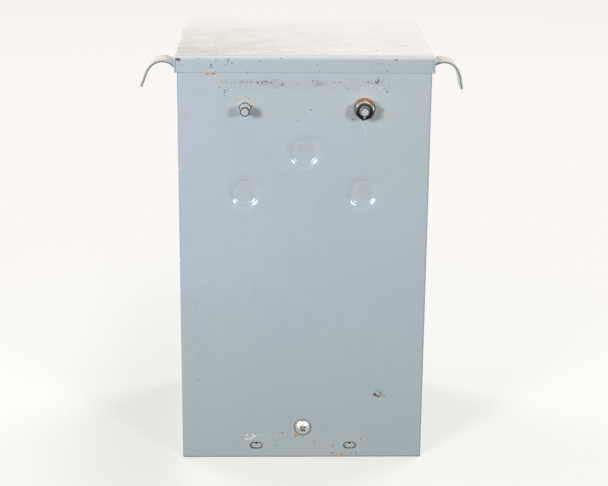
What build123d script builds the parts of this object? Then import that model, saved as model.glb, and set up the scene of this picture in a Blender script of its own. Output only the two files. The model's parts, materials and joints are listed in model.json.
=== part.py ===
from build123d import *
from math import atan2, cos, degrees, radians, sin, tan
import os

# General purpose dry-type transformer in a wall-mounted sheet steel enclosure.
# Millimetres, +Z up, origin at the centre of the enclosure's underside.
# The mounting side faces -Y, the cover of the wiring compartment faces +Y.

# Enclosure
sheet = 1.5
body_width = 236.0
body_depth = 208.0
body_height = 400.6
bend_radius = 2.5
lip_width = 16.0
fit_clearance = 0.2

# Lid
lid_clearance = 0.8
lid_flange = 15.0
lid_side_drop = 0.6
lid_bend_radius = 2.0
corner_seam = 0.3

# Pressed dimples of the mounting side
dimple_flat_radius = 9.8
dimple_rim_radius = 18.0
dimple_depth = 2.6
dimple_foot_radius = 3.6
dimple_half_span = 55.6
dimple_low_drop = 81.5
dimple_high_drop = 42.2

# Mounting bolts, three eighths of an inch
bolt_half_span = 55.2
bolt_drop = 47.3
bolt_radius = 4.7
bolt_neck_radius = 4.9
bolt_neck_reach = 0.4
bolt_reach = 17.0
bolt_chamfer = 0.9
bolt_head_flats = 14.3
bolt_head_thickness = 6.0
bolt_hole_clearance = 0.4
backing_bar_width = 156.0
backing_bar_height = 30.0
backing_bar_thickness = 3.0

# Hardware left on the right bolt
washer_radius = 10.0
washer_thickness = 1.7
washer_slack = 0.9
washer_shift = 0.7
lock_washer_radius = 8.6
lock_washer_thickness = 2.4
lock_washer_gap = 1.2
nut_flats = 16.0
nut_thickness = 8.6
nut_chamfer_radius = 8.3
nut_bore_clearance = 0.15

# Ground screw with its lug and nut
ground_screw_x = 0.5
ground_screw_height = 31.7
screw_head_radius = 7.7
screw_head_height = 3.1
screw_shank_radius = 3.1
screw_length = 17.0
recess_width = 2.2
recess_span = 7.2
recess_depth = 2.3
recess_turn = 40.0
lug_width = 13.0
lug_thickness = 2.2
lug_length = 30.0
lug_barrel_radius = 5.6
lug_barrel_length = 15.0
lug_wire_radius = 3.6
ground_nut_flats = 11.1
ground_nut_thickness = 5.6

# Bracket slots and the pan edge behind them
slot_half_span = 46.2
slot_centre_x = 1.0
slot_height = 12.5
slot_length = 11.8
slot_width = 6.2
pan_wall_gap = 1.0
pan_rear_flange = 17.2
pan_side_flange = 22.0
pan_notch_width = 9.8
pan_notch_depth = 5.0

# Lifting hooks
hook_width = 25.4
hook_thickness = 2.3
hook_setback = 6.0
hook_leg = 42.0
hook_bend_radius = 3.0
hook_clearance = 0.5
hook_tip_fillet = 0.8

# Front panel, compartment cover and their screws
cover_height = 110.6
cover_bottom_gap = 0.8
panel_gap = 1.0
panel_return = 9.0
return_clearance = 0.6
cover_screw_low = 27.0
cover_screw_high = 97.0
small_screw_radius = 2.4
small_screw_length = 9.0
small_screw_washer_radius = 5.6
small_screw_washer_thickness = 1.0
small_screw_flats = 7.9
small_screw_head_height = 3.6
small_hole_clearance = 0.15
lid_screw_half_span = 80.0

# Knockouts of the wiring compartment
knockout_large_radius = 14.3
knockout_small_radius = 11.1
knockout_groove = 0.7
knockout_groove_depth = 0.8
knockout_height = 62.0
knockout_half_pitch = 24.0

# Shelf under the core, and its rails
shelf_height = 128.0
shelf_flange = 12.5
rail_leg = 20.0
rail_thickness = 2.0
rail_half_span = 61.0
rail_bottom = 22.0

# Core of E and I laminations
core_width = 192.0
core_height = 160.0
core_margin = 54.0
limb_width = 32.0
core_lift = 8.0
lamination_joint = 0.3

# Core clamps
clamp_leg = 30.0
clamp_foot = 18.0
clamp_thickness = 3.0
clamp_bolt_radius = 4.0
clamp_bolt_flats = 13.0
clamp_bolt_head = 5.3
clamp_nut_thickness = 6.5
clamp_hole_clearance = 0.3
clamp_bolt_tail = 2.5

# Coil on the centre limb
former_clearance = 0.4
former_wall = 2.0
former_end_gap = 0.5
cheek_thickness = 2.0
insulation_thickness = 1.5
wrap_thickness = 1.2
outer_winding_extra = 0.5
coil_window_gap = 4.4
coil_corner_radius = 6.0
winding_turns = 7
winding_groove = 0.8

# Potting compound
head_space = 62.6

# Terminal board and the leads
terminal_count = 8
terminal_pitch = 15.0
terminal_setback = 28.0
board_length = 176.0
board_depth = 42.0
board_thickness = 8.0
board_screw_half_span = 80.0
opening_length = 132.0
opening_depth = 15.0
terminal_radius = 3.9
terminal_length = 36.0
terminal_head_flats = 11.5
terminal_head_height = 5.0
terminal_nut_flats = 12.5
terminal_nut_thickness = 6.0
lead_width = 8.0
lead_thickness = 2.0

# Planes and levels that several pieces share
wall_y = -body_depth / 2
wall_inner_y = wall_y + sheet
front_y = body_depth / 2
lip_outer_y = front_y - sheet
lip_inner_y = lip_outer_y - sheet
bolt_height = body_height - bolt_drop
dimple_low_height = bolt_height - dimple_low_drop
dimple_high_height = bolt_height - dimple_high_drop
compound_top = body_height - head_space
terminal_row_y = front_y - terminal_setback
core_stack = body_depth - 2 * core_margin
side_x = body_width / 2
side_inner_x = side_x - sheet
shelf_top = shelf_height + sheet
lid_top = body_height + sheet
lid_width = body_width + 2 * (lid_clearance + sheet)
lid_depth = body_depth + 2 * (lid_clearance + sheet)
lid_bottom = lid_top - lid_flange
hook_centre_y = -lid_depth / 2 + hook_setback + hook_width / 2
core_bottom = shelf_top + core_lift
core_top = core_bottom + core_height
window_bottom = core_bottom + limb_width
window_height = core_height - 2 * limb_width
centre_limb = 2 * limb_width
window_width = (core_width - centre_limb - 2 * limb_width) / 2
tube_build = former_clearance + former_wall
winding_room = window_width - tube_build - insulation_thickness - wrap_thickness - coil_window_gap
inner_winding_thickness = (winding_room - outer_winding_extra) / 2
outer_winding_thickness = inner_winding_thickness + outer_winding_extra
lip_screw_x = side_x - lip_width / 2
panel_bottom = cover_bottom_gap + cover_height + panel_gap
opening_width = body_width - 2 * lip_width


def wall_plane(x, z, y=wall_y):
    """Plane on the mounting side, looking outwards along -Y."""
    return Plane(origin=(x, y, z), x_dir=(1, 0, 0), z_dir=(0, -1, 0))


def front_plane(x, z, y=front_y):
    """Plane on the cover side, looking outwards along +Y."""
    return Plane(origin=(x, y, z), x_dir=(-1, 0, 0), z_dir=(0, 1, 0))


def finish(piece, name):
    piece.part.label = name
    export_step(piece.part, "parts/" + name + ".step")


os.makedirs("parts", exist_ok=True)

# A dimple's outline turns down through two arcs, tangent to flat and rim: a wide one at
# the rim and a tighter one at the foot.
dimple_run = dimple_rim_radius - dimple_flat_radius
dimple_turn = 2 * degrees(atan2(dimple_depth, dimple_run))
dimple_rim_arc = dimple_run / sin(radians(dimple_turn)) - dimple_foot_radius


def dimple_solid(skin):
    """The pressed form, thickened inwards by skin; its axis is Z, pressed down."""
    with BuildPart() as form:
        with BuildSketch(Plane.XZ):
            with BuildLine():
                flat = Line((0, -dimple_depth - skin), (dimple_flat_radius, -dimple_depth - skin))
                low = JernArc(flat @ 1, flat % 1, dimple_foot_radius + skin, dimple_turn)
                high = JernArc(low @ 1, low % 1, dimple_rim_arc - skin, -dimple_turn)
                Line(high @ 1, ((high @ 1).X, 0))
                Line(((high @ 1).X, 0), (0, 0))
                Line((0, 0), flat @ 0)
            make_face()
        revolve(axis=Axis.Z)
    return form.part


dimple_cut = dimple_solid(0)
dimple_skin = dimple_solid(sheet)
dimple_places = [
    wall_plane(0, dimple_high_height),
    wall_plane(-dimple_half_span, dimple_low_height),
    wall_plane(dimple_half_span, dimple_low_height),
]

# How each hook leaves its leg: (lean from upright in degrees, knee below the lid's top,
# crown radius, crown's whole turn in degrees, spread radius, spread turn, straight tip)
hook_forms = {
    "left": (40.0, 17.6, 14.65, 97.0, 25.0, 23.0, 11.6),
    "right": (55.0, 13.6, 14.55, 101.0, 40.0, 14.0, 7.6),
}


def hook_pass(form, walls):
    """Height at which the hook's upper surface leaves the given thickness of walls."""
    lean, knee = radians(form[0]), form[1]
    bend_run = hook_bend_radius * (1 - cos(lean))
    slope_run = hook_thickness / 2 + walls - bend_run
    path = lid_top - knee + hook_bend_radius * sin(lean) + slope_run / tan(lean)
    return path + hook_thickness / 2 / sin(lean) + hook_clearance


# Enclosure wrap: mounting panel, both sides and the front lips, folded from one sheet
with BuildPart() as enclosure_wrap:
    with BuildSketch():
        with Locations((0, -sheet / 2)):
            RectangleRounded(body_width, body_depth - sheet, bend_radius)
            RectangleRounded(
                body_width - 2 * sheet,
                body_depth - 3 * sheet,
                bend_radius - sheet,
                mode=Mode.SUBTRACT,
            )
        with Locations((0, lip_outer_y)):
            Rectangle(opening_width, 4 * sheet, mode=Mode.SUBTRACT)
    extrude(amount=body_height)
    with Locations(*dimple_places):
        add(dimple_skin)
        add(dimple_cut, mode=Mode.SUBTRACT)
    with BuildSketch(wall_plane(0, bolt_height)):
        with GridLocations(2 * bolt_half_span, 0, 2, 1):
            Circle(bolt_radius + bolt_hole_clearance)
    extrude(amount=-sheet, mode=Mode.SUBTRACT)
    with BuildSketch(wall_plane(ground_screw_x, ground_screw_height)):
        Circle(screw_shank_radius + small_hole_clearance)
    extrude(amount=-sheet, mode=Mode.SUBTRACT)
    with BuildSketch(wall_plane(slot_centre_x, slot_height)):
        with GridLocations(2 * slot_half_span, 0, 2, 1):
            SlotOverall(slot_length, slot_width)
    extrude(amount=-sheet, mode=Mode.SUBTRACT)
    for hook_side, form in ((-1, hook_forms["left"]), (1, hook_forms["right"])):
        pass_bottom = lid_top - form[1] - hook_clearance
        pass_top = hook_pass(form, sheet)
        with BuildSketch(Plane.YZ):
            with Locations((hook_centre_y, (pass_bottom + pass_top) / 2)):
                Rectangle(hook_width + 2 * hook_clearance, pass_top - pass_bottom)
        extrude(amount=hook_side * (side_x + sheet), mode=Mode.SUBTRACT)
    for lip_side in (-1, 1):
        with BuildSketch(front_plane(lip_side * lip_screw_x, 0, lip_outer_y)):
            with Locations((0, cover_screw_low), (0, cover_screw_high)):
                Circle(small_screw_radius + small_hole_clearance)
        extrude(amount=-sheet, mode=Mode.SUBTRACT)
        with BuildSketch(Plane.YZ.offset(lip_side * side_x)):
            with Locations((-knockout_half_pitch, knockout_height)):
                Circle(knockout_small_radius)
                Circle(knockout_small_radius - knockout_groove, mode=Mode.SUBTRACT)
            with Locations((knockout_half_pitch, knockout_height)):
                Circle(knockout_large_radius)
                Circle(knockout_large_radius - knockout_groove, mode=Mode.SUBTRACT)
        extrude(amount=-lip_side * knockout_groove_depth, mode=Mode.SUBTRACT)
finish(enclosure_wrap, "enclosure_wrap")

# Base pan: floor with flanges turned up inside the wrap, notched behind the bracket slots
pan_width = body_width - 2 * (sheet + fit_clearance)
pan_rear_y = wall_inner_y + pan_wall_gap
pan_depth = lip_inner_y - fit_clearance - pan_rear_y
pan_centre_y = pan_rear_y + pan_depth / 2
with BuildPart() as base_pan:
    with BuildSketch():
        with Locations((0, pan_centre_y)):
            RectangleRounded(pan_width, pan_depth, bend_radius - fit_clearance)
    extrude(amount=pan_side_flange)
    with BuildSketch(Plane.XY.offset(sheet)):
        with Locations((0, pan_centre_y)):
            Rectangle(pan_width - 2 * sheet, pan_depth - 2 * sheet)
    extrude(amount=pan_side_flange, mode=Mode.SUBTRACT)
    with BuildSketch(Plane.XY.offset(pan_rear_flange)):
        with Locations((0, pan_centre_y)):
            Rectangle(pan_width - 2 * sheet, pan_depth + 2 * sheet)
    extrude(amount=pan_side_flange, mode=Mode.SUBTRACT)
    with BuildSketch(wall_plane(slot_centre_x, pan_rear_flange, pan_rear_y)):
        with GridLocations(2 * slot_half_span, 0, 2, 1):
            Polygon(
                (-pan_notch_width / 2, 0),
                (pan_notch_width / 2, 0),
                (0, -pan_notch_depth),
                align=None,
            )
    extrude(amount=-sheet, mode=Mode.SUBTRACT)
    fillet(base_pan.edges().filter_by(Axis.X).group_by(Axis.Z)[0], lid_bend_radius - sheet / 2)
    with BuildSketch(Plane.XY):
        with Locations((-knockout_half_pitch, 0)):
            Circle(knockout_small_radius)
            Circle(knockout_small_radius - knockout_groove, mode=Mode.SUBTRACT)
        with Locations((knockout_half_pitch, 0)):
            Circle(knockout_large_radius)
            Circle(knockout_large_radius - knockout_groove, mode=Mode.SUBTRACT)
    extrude(amount=knockout_groove_depth, mode=Mode.SUBTRACT)
finish(base_pan, "base_pan")

# Lid: flat top with four flanges; the side flanges are notched round the hooks
lid_inner_width = lid_width - 2 * sheet
lid_inner_depth = lid_depth - 2 * sheet
with BuildPart() as lid:
    with BuildSketch(Plane.XY.offset(lid_bottom - lid_side_drop)):
        Rectangle(lid_width, lid_depth)
    extrude(amount=lid_flange + lid_side_drop)
    fillet(lid.faces().sort_by(Axis.Z)[-1].edges(), lid_bend_radius)
    with BuildSketch(Plane.XY.offset(lid_bottom - lid_side_drop)):
        Rectangle(lid_inner_width, lid_inner_depth)
    extrude(amount=lid_flange + lid_side_drop - sheet, mode=Mode.SUBTRACT)
    with BuildSketch(Plane.XY.offset(lid_bottom - lid_side_drop)):
        Rectangle(lid_inner_width, lid_depth)
    extrude(amount=lid_side_drop, mode=Mode.SUBTRACT)
    with BuildSketch(Plane.XY.offset(lid_bottom - lid_side_drop)):
        with GridLocations(lid_inner_width - corner_seam, lid_depth - sheet, 2, 2):
            Rectangle(corner_seam, sheet)
    extrude(amount=lid_flange + lid_side_drop - lid_bend_radius, mode=Mode.SUBTRACT)
    for hook_side, form in ((-1, hook_forms["left"]), (1, hook_forms["right"])):
        notch_top = hook_pass(form, 2 * sheet + lid_clearance)
        notch_bottom = lid_bottom - lid_side_drop
        with BuildSketch(Plane.YZ):
            with Locations((hook_centre_y, (notch_top + notch_bottom) / 2)):
                Rectangle(hook_width + 2 * hook_clearance, notch_top - notch_bottom)
        extrude(amount=hook_side * lid_width, mode=Mode.SUBTRACT)
    with BuildSketch(front_plane(0, lid_bottom + lid_flange / 2, lid_depth / 2)):
        with GridLocations(2 * lid_screw_half_span, 0, 2, 1):
            Circle(small_screw_radius + small_hole_clearance)
    extrude(amount=-sheet, mode=Mode.SUBTRACT)
finish(lid, "lid")


def lifting_hook(form):
    """Strip hook on the +X side: inner leg, rise through the wall, crown, spread tip."""
    lean, knee, crown_radius, crown_turn, spread_radius, spread, tip = form
    through = 2 * sheet + lid_clearance + fit_clearance
    with BuildPart() as hook:
        with BuildLine(Plane.XZ.offset(-hook_centre_y)) as path:
            knee_z = lid_top - knee
            leg_x = side_inner_x - hook_thickness / 2
            leg = Line((leg_x, knee_z - hook_leg), (leg_x, knee_z))
            bend = JernArc(leg @ 1, leg % 1, hook_bend_radius, -lean)
            climb = Line(bend @ 1, bend @ 1 + (bend % 1) * (through / sin(radians(lean))))
            crown = JernArc(climb @ 1, climb % 1, crown_radius, -crown_turn)
            flare = JernArc(crown @ 1, crown % 1, spread_radius, -spread)
            Line(flare @ 1, flare @ 1 + (flare % 1) * tip)
        with BuildSketch(Plane(origin=path.line @ 0, x_dir=(1, 0, 0), z_dir=(0, 0, 1))):
            Rectangle(hook_thickness, hook_width)
        sweep(path=path.line)
        fillet(hook.edges().filter_by(Axis.Y).group_by(Axis.Z)[0], hook_tip_fillet / 2)
    return hook.part


with BuildPart() as hook_right:
    add(lifting_hook(hook_forms["right"]))
finish(hook_right, "hook_right")

with BuildPart() as hook_left:
    add(lifting_hook(hook_forms["left"]).mirror(Plane.YZ))
finish(hook_left, "hook_left")

# Backing bar behind the mounting bolts
bar_inner_y = wall_inner_y + backing_bar_thickness
with BuildPart() as backing_bar:
    with BuildSketch(wall_plane(0, bolt_height, bar_inner_y)):
        RectangleRounded(backing_bar_width, backing_bar_height, sheet)
        with GridLocations(2 * bolt_half_span, 0, 2, 1):
            Circle(bolt_radius + bolt_hole_clearance, mode=Mode.SUBTRACT)
    extrude(amount=backing_bar_thickness)
finish(backing_bar, "backing_bar")

# Mounting bolts: hexagon head inside, chamfered end outside
with BuildPart() as mounting_bolts:
    with BuildSketch(wall_plane(0, bolt_height, bar_inner_y)):
        with GridLocations(2 * bolt_half_span, 0, 2, 1):
            RegularPolygon(bolt_head_flats / 2, 6, major_radius=False)
    extrude(amount=-bolt_head_thickness)
    with BuildSketch(wall_plane(0, bolt_height, bar_inner_y)):
        with GridLocations(2 * bolt_half_span, 0, 2, 1):
            Circle(bolt_neck_radius)
    extrude(amount=backing_bar_thickness + sheet + bolt_neck_reach)
    with BuildSketch(wall_plane(0, bolt_height)):
        with GridLocations(2 * bolt_half_span, 0, 2, 1):
            Circle(bolt_radius)
    extrude(amount=bolt_reach)
    chamfer(mounting_bolts.faces().group_by(Axis.Y)[0].edges(), bolt_chamfer)
finish(mounting_bolts, "mounting_bolts")

# Flat washer, split lock washer and nut that stay on the right bolt; the flat washer's
# bore is wide, and it sits off centre
with BuildPart() as flat_washer:
    with BuildSketch(wall_plane(bolt_half_span + washer_shift, bolt_height)):
        Circle(washer_radius)
        Circle(bolt_radius + washer_slack, mode=Mode.SUBTRACT)
    extrude(amount=washer_thickness)
    chamfer(flat_washer.faces().sort_by(Axis.Y)[0].edges(), sheet / 5)
finish(flat_washer, "flat_washer")

lock_washer_y = wall_y - washer_thickness
with BuildPart() as lock_washer:
    with BuildSketch(wall_plane(bolt_half_span, bolt_height, lock_washer_y)):
        Circle(lock_washer_radius)
        Circle(bolt_radius + bolt_hole_clearance, mode=Mode.SUBTRACT)
        with Locations((0, lock_washer_radius)):
            Rectangle(lock_washer_gap, 2 * lock_washer_radius, mode=Mode.SUBTRACT)
    extrude(amount=lock_washer_thickness)
finish(lock_washer, "lock_washer")

nut_y = lock_washer_y - lock_washer_thickness
nut_corner_radius = nut_flats / 2 / cos(radians(30))
nut_corner_drop = (nut_corner_radius - nut_chamfer_radius) * tan(radians(30))
with BuildPart() as stud_nut:
    with BuildSketch(wall_plane(bolt_half_span, bolt_height, nut_y)):
        RegularPolygon(nut_flats / 2, 6, major_radius=False, rotation=20)
        Circle(bolt_radius + nut_bore_clearance, mode=Mode.SUBTRACT)
    extrude(amount=nut_thickness)
    with BuildSketch(wall_plane(bolt_half_span, bolt_height, nut_y)):
        Circle(nut_corner_radius + nut_corner_drop + nut_thickness / tan(radians(30)))
    extrude(amount=nut_thickness, taper=60, mode=Mode.INTERSECT)
finish(stud_nut, "stud_nut")

# Ground screw: truss head with a cross recess, turned as it was driven
head_sphere = (screw_head_radius**2 + screw_head_height**2) / (2 * screw_head_height)
crown_mid = head_sphere - screw_head_height - (head_sphere**2 - screw_head_radius**2 / 4) ** 0.5
screw_plane = Plane(origin=(ground_screw_x, wall_y, ground_screw_height))
with BuildPart() as ground_screw:
    with BuildSketch(screw_plane):
        with BuildLine():
            crown_arc = ThreePointArc(
                (0, -screw_head_height),
                (screw_head_radius / 2, crown_mid),
                (screw_head_radius, 0),
            )
            Line(crown_arc @ 1, (screw_shank_radius, 0))
            Line((screw_shank_radius, 0), (screw_shank_radius, screw_length))
            Line((screw_shank_radius, screw_length), (0, screw_length))
            Line((0, screw_length), crown_arc @ 0)
        make_face()
    revolve(axis=Axis(screw_plane.origin, (0, 1, 0)))
    with BuildSketch(wall_plane(ground_screw_x, ground_screw_height, wall_y - screw_head_height)):
        Rectangle(recess_span, recess_width, rotation=recess_turn)
        Rectangle(recess_width, recess_span, rotation=recess_turn)
    extrude(amount=-recess_depth, taper=20, mode=Mode.SUBTRACT)
finish(ground_screw, "ground_screw")

# Ground lug inside the wiring compartment, and the nut that holds it
lug_y = wall_inner_y + lug_thickness
with BuildPart() as ground_lug:
    with BuildSketch(wall_plane(ground_screw_x, ground_screw_height, lug_y)):
        with Locations((0, lug_length / 2 - lug_width / 2)):
            RectangleRounded(lug_width, lug_length, lug_width / 3)
    extrude(amount=lug_thickness)
    barrel_z = ground_screw_height + lug_length - lug_width / 2 - lug_barrel_length
    with BuildSketch(Plane((ground_screw_x, lug_y + lug_barrel_radius - lug_thickness, barrel_z))):
        Circle(lug_barrel_radius)
    extrude(amount=lug_barrel_length)
    with BuildSketch(Plane((ground_screw_x, lug_y + lug_barrel_radius - lug_thickness, barrel_z))):
        Circle(lug_wire_radius)
    extrude(amount=lug_barrel_length, mode=Mode.SUBTRACT)
    with BuildSketch(wall_plane(ground_screw_x, ground_screw_height, lug_y)):
        Circle(screw_shank_radius + small_hole_clearance)
    extrude(amount=lug_thickness, mode=Mode.SUBTRACT)
finish(ground_lug, "ground_lug")

with BuildPart() as ground_nut:
    with BuildSketch(wall_plane(ground_screw_x, ground_screw_height, lug_y)):
        RegularPolygon(ground_nut_flats / 2, 6, major_radius=False)
        Circle(screw_shank_radius + small_hole_clearance, mode=Mode.SUBTRACT)
    extrude(amount=-ground_nut_thickness)
finish(ground_nut, "ground_nut")

# Upper front panel, its lower edge turned in
with BuildPart() as front_panel:
    with BuildSketch(front_plane(0, (body_height + panel_bottom) / 2, lip_outer_y)):
        Rectangle(body_width, body_height - panel_bottom)
    extrude(amount=sheet)
    with BuildSketch(Plane.XY.offset(panel_bottom)):
        with Locations((0, lip_outer_y - panel_return / 2)):
            Rectangle(opening_width - 2 * return_clearance, panel_return)
    extrude(amount=sheet)
    with BuildSketch(front_plane(0, lid_bottom + lid_flange / 2)):
        with GridLocations(2 * lid_screw_half_span, 0, 2, 1):
            Circle(small_screw_radius + small_hole_clearance)
    extrude(amount=-sheet, mode=Mode.SUBTRACT)
finish(front_panel, "front_panel")

# Compartment cover with top and bottom edges turned in
with BuildPart() as compartment_cover:
    with BuildSketch(front_plane(0, cover_bottom_gap + cover_height / 2, lip_outer_y)):
        Rectangle(body_width, cover_height)
    extrude(amount=sheet)
    with BuildSketch(Plane.XY.offset(cover_bottom_gap + cover_height - sheet)):
        with Locations((0, lip_outer_y - panel_return / 2)):
            Rectangle(opening_width - 2 * return_clearance, panel_return)
    extrude(amount=sheet)
    for screw_z in (cover_screw_low, cover_screw_high):
        with BuildSketch(front_plane(0, screw_z)):
            with GridLocations(2 * lip_screw_x, 0, 2, 1):
                Circle(small_screw_radius + small_hole_clearance)
        extrude(amount=-sheet, mode=Mode.SUBTRACT)
finish(compartment_cover, "compartment_cover")


def washer_head_screw(length):
    """Hexagon washer-head sheet metal screw; seat at Z = 0, head up."""
    with BuildPart() as screw:
        Cylinder(
            small_screw_washer_radius,
            small_screw_washer_thickness,
            align=(Align.CENTER, Align.CENTER, Align.MIN),
        )
        with BuildSketch(Plane.XY.offset(small_screw_washer_thickness)):
            RegularPolygon(small_screw_flats / 2, 6, major_radius=False)
        extrude(amount=small_screw_head_height)
        with BuildSketch():
            Circle(small_screw_radius)
        extrude(amount=-length)
        chamfer(screw.faces().sort_by(Axis.Z)[0].edges(), small_screw_radius / 2)
        chamfer(screw.faces().sort_by(Axis.Z)[-1].edges(), small_screw_radius / 6)
    return screw.part


cover_screw = washer_head_screw(small_screw_length)
with BuildPart() as cover_screws:
    for screw_x in (-lip_screw_x, lip_screw_x):
        for screw_z in (cover_screw_low, cover_screw_high):
            with Locations(front_plane(screw_x, screw_z)):
                add(cover_screw)
finish(cover_screws, "cover_screws")

with BuildPart() as lid_screws:
    for screw_x in (-lid_screw_half_span, lid_screw_half_span):
        with Locations(front_plane(screw_x, lid_bottom + lid_flange / 2, lid_depth / 2)):
            add(cover_screw)
finish(lid_screws, "lid_screws")

# Rails on the mounting panel that carry the shelf
for rail_name, rail_side in (("support_rail_left", -1), ("support_rail_right", 1)):
    with BuildPart() as support_rail:
        with BuildSketch(Plane.XY.offset(rail_bottom)):
            with Locations((rail_side * (rail_half_span + rail_leg / 2), wall_inner_y)):
                Rectangle(rail_leg, rail_thickness, align=(Align.CENTER, Align.MIN))
            with Locations((rail_side * (rail_half_span + rail_thickness / 2), wall_inner_y)):
                Rectangle(rail_thickness, rail_leg, align=(Align.CENTER, Align.MIN))
        extrude(amount=shelf_height - rail_bottom)
    finish(support_rail, rail_name)

# Shelf between the core and the wiring compartment, with the opening for the terminals
shelf_width = body_width - 2 * (sheet + fit_clearance)
shelf_rear_y = wall_inner_y + fit_clearance
shelf_depth = lip_inner_y - fit_clearance - shelf_rear_y
shelf_centre_y = shelf_rear_y + shelf_depth / 2
with BuildPart() as shelf:
    with BuildSketch(Plane.XY.offset(shelf_top - shelf_flange)):
        with Locations((0, shelf_centre_y)):
            RectangleRounded(shelf_width, shelf_depth, bend_radius - fit_clearance)
    extrude(amount=shelf_flange)
    with BuildSketch(Plane.XY.offset(shelf_top - shelf_flange)):
        with Locations((0, shelf_centre_y - sheet)):
            Rectangle(shelf_width - 2 * sheet, shelf_depth)
    extrude(amount=shelf_flange - sheet, mode=Mode.SUBTRACT)
    with BuildSketch(Plane.XY.offset(shelf_height)):
        with Locations((0, terminal_row_y)):
            RectangleRounded(opening_length, opening_depth, sheet)
            with GridLocations(2 * board_screw_half_span, 0, 2, 1):
                Circle(small_screw_radius + small_hole_clearance)
    extrude(amount=sheet, mode=Mode.SUBTRACT)
finish(shelf, "shelf")

# Core: E stack with its yoke below, I stack closing it on top
clamp_bolt_x = core_width / 2 - limb_width / 2
clamp_bolt_low = core_bottom + limb_width / 2
clamp_bolt_high = core_top - limb_width / 2
joint_z = core_top - limb_width
with BuildPart() as core_e_stack:
    with BuildSketch(wall_plane(0, core_bottom, -core_stack / 2)):
        with Locations((0, (joint_z - core_bottom) / 2)):
            Rectangle(core_width, joint_z - core_bottom)
        with Locations((0, limb_width + window_height / 2)):
            with GridLocations(centre_limb + window_width, 0, 2, 1):
                Rectangle(window_width, window_height, mode=Mode.SUBTRACT)
        with Locations((0, limb_width / 2)):
            with GridLocations(2 * clamp_bolt_x, 0, 2, 1):
                Circle(clamp_bolt_radius + clamp_hole_clearance, mode=Mode.SUBTRACT)
    extrude(amount=-core_stack)
finish(core_e_stack, "core_e_stack")

with BuildPart() as core_i_stack:
    with BuildSketch(wall_plane(0, joint_z + limb_width / 2, -core_stack / 2)):
        with Locations((0, lamination_joint / 2)):
            Rectangle(core_width, limb_width - lamination_joint)
        with GridLocations(2 * clamp_bolt_x, 0, 2, 1):
            Circle(clamp_bolt_radius + clamp_hole_clearance, mode=Mode.SUBTRACT)
    extrude(amount=-core_stack)
finish(core_i_stack, "core_i_stack")

# Clamp angles: the lower pair stands on the shelf, the upper pair closes the top yoke
clamp_levels = (
    ("lower_clamps", shelf_top, shelf_top, clamp_bolt_low),
    ("upper_clamps", core_top - clamp_leg, core_top - clamp_thickness, clamp_bolt_high),
)
clamp_blanks = []
for clamp_name, leg_bottom, foot_bottom, hole_z in clamp_levels:
    with BuildPart() as clamps:
        with BuildSketch(Plane.XY.offset(leg_bottom)):
            with GridLocations(0, core_stack + clamp_thickness, 1, 2):
                Rectangle(core_width, clamp_thickness)
        extrude(amount=clamp_leg)
        with BuildSketch(Plane.XY.offset(foot_bottom)):
            with GridLocations(0, core_stack + clamp_foot, 1, 2):
                Rectangle(core_width, clamp_foot)
        extrude(amount=clamp_thickness)
        clamp_blanks.append(clamps.part)
        with BuildSketch(wall_plane(0, hole_z, 0)):
            with GridLocations(2 * clamp_bolt_x, 0, 2, 1):
                Circle(clamp_bolt_radius + clamp_hole_clearance)
        extrude(amount=core_stack, both=True, mode=Mode.SUBTRACT)
    finish(clamps, clamp_name)

# Clamp bolts and nuts through the core's corners
clamp_face_y = core_stack / 2 + clamp_thickness
clamp_rows = (clamp_bolt_low, clamp_bolt_high)
with BuildPart() as clamp_bolts:
    for row_z in clamp_rows:
        with BuildSketch(wall_plane(0, row_z, -clamp_face_y)):
            with GridLocations(2 * clamp_bolt_x, 0, 2, 1):
                RegularPolygon(clamp_bolt_flats / 2, 6, major_radius=False)
        extrude(amount=clamp_bolt_head)
        with BuildSketch(wall_plane(0, row_z, -clamp_face_y)):
            with GridLocations(2 * clamp_bolt_x, 0, 2, 1):
                Circle(clamp_bolt_radius)
        extrude(amount=-2 * clamp_face_y - clamp_nut_thickness - clamp_bolt_tail)
finish(clamp_bolts, "clamp_bolts")

with BuildPart() as clamp_nuts:
    for row_z in clamp_rows:
        with BuildSketch(front_plane(0, row_z, clamp_face_y)):
            with GridLocations(2 * clamp_bolt_x, 0, 2, 1):
                RegularPolygon(clamp_bolt_flats / 2, 6, major_radius=False)
        extrude(amount=clamp_nut_thickness)
    clamp_nut_blanks = clamp_nuts.part
    for row_z in clamp_rows:
        with BuildSketch(front_plane(0, row_z, clamp_face_y)):
            with GridLocations(2 * clamp_bolt_x, 0, 2, 1):
                Circle(clamp_bolt_radius + nut_bore_clearance)
        extrude(amount=clamp_nut_thickness, mode=Mode.SUBTRACT)
finish(clamp_nuts, "clamp_nuts")

# Coil former: a tube round the centre limb between two cheeks
tube_inner_x = centre_limb + 2 * former_clearance
tube_inner_y = core_stack + 2 * former_clearance
tube_outer_x = tube_inner_x + 2 * former_wall
tube_outer_y = tube_inner_y + 2 * former_wall
coil_build = inner_winding_thickness + insulation_thickness + outer_winding_thickness + wrap_thickness
cheek_x = tube_outer_x + 2 * coil_build
cheek_y = tube_outer_y + 2 * coil_build
former_bottom = window_bottom + former_end_gap
former_height = window_height - 2 * former_end_gap
with BuildPart() as coil_former:
    with BuildSketch(Plane.XY.offset(former_bottom)):
        Rectangle(tube_outer_x, tube_outer_y)
    extrude(amount=former_height)
    for cheek_z in (former_bottom, former_bottom + former_height - cheek_thickness):
        with BuildSketch(Plane.XY.offset(cheek_z)):
            RectangleRounded(cheek_x, cheek_y, coil_corner_radius)
        extrude(amount=cheek_thickness)
    with BuildSketch(Plane.XY.offset(former_bottom)):
        Rectangle(tube_inner_x, tube_inner_y)
    extrude(amount=former_height, mode=Mode.SUBTRACT)
finish(coil_former, "coil_former")

winding_bottom = former_bottom + cheek_thickness
winding_height = former_height - 2 * cheek_thickness


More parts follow.
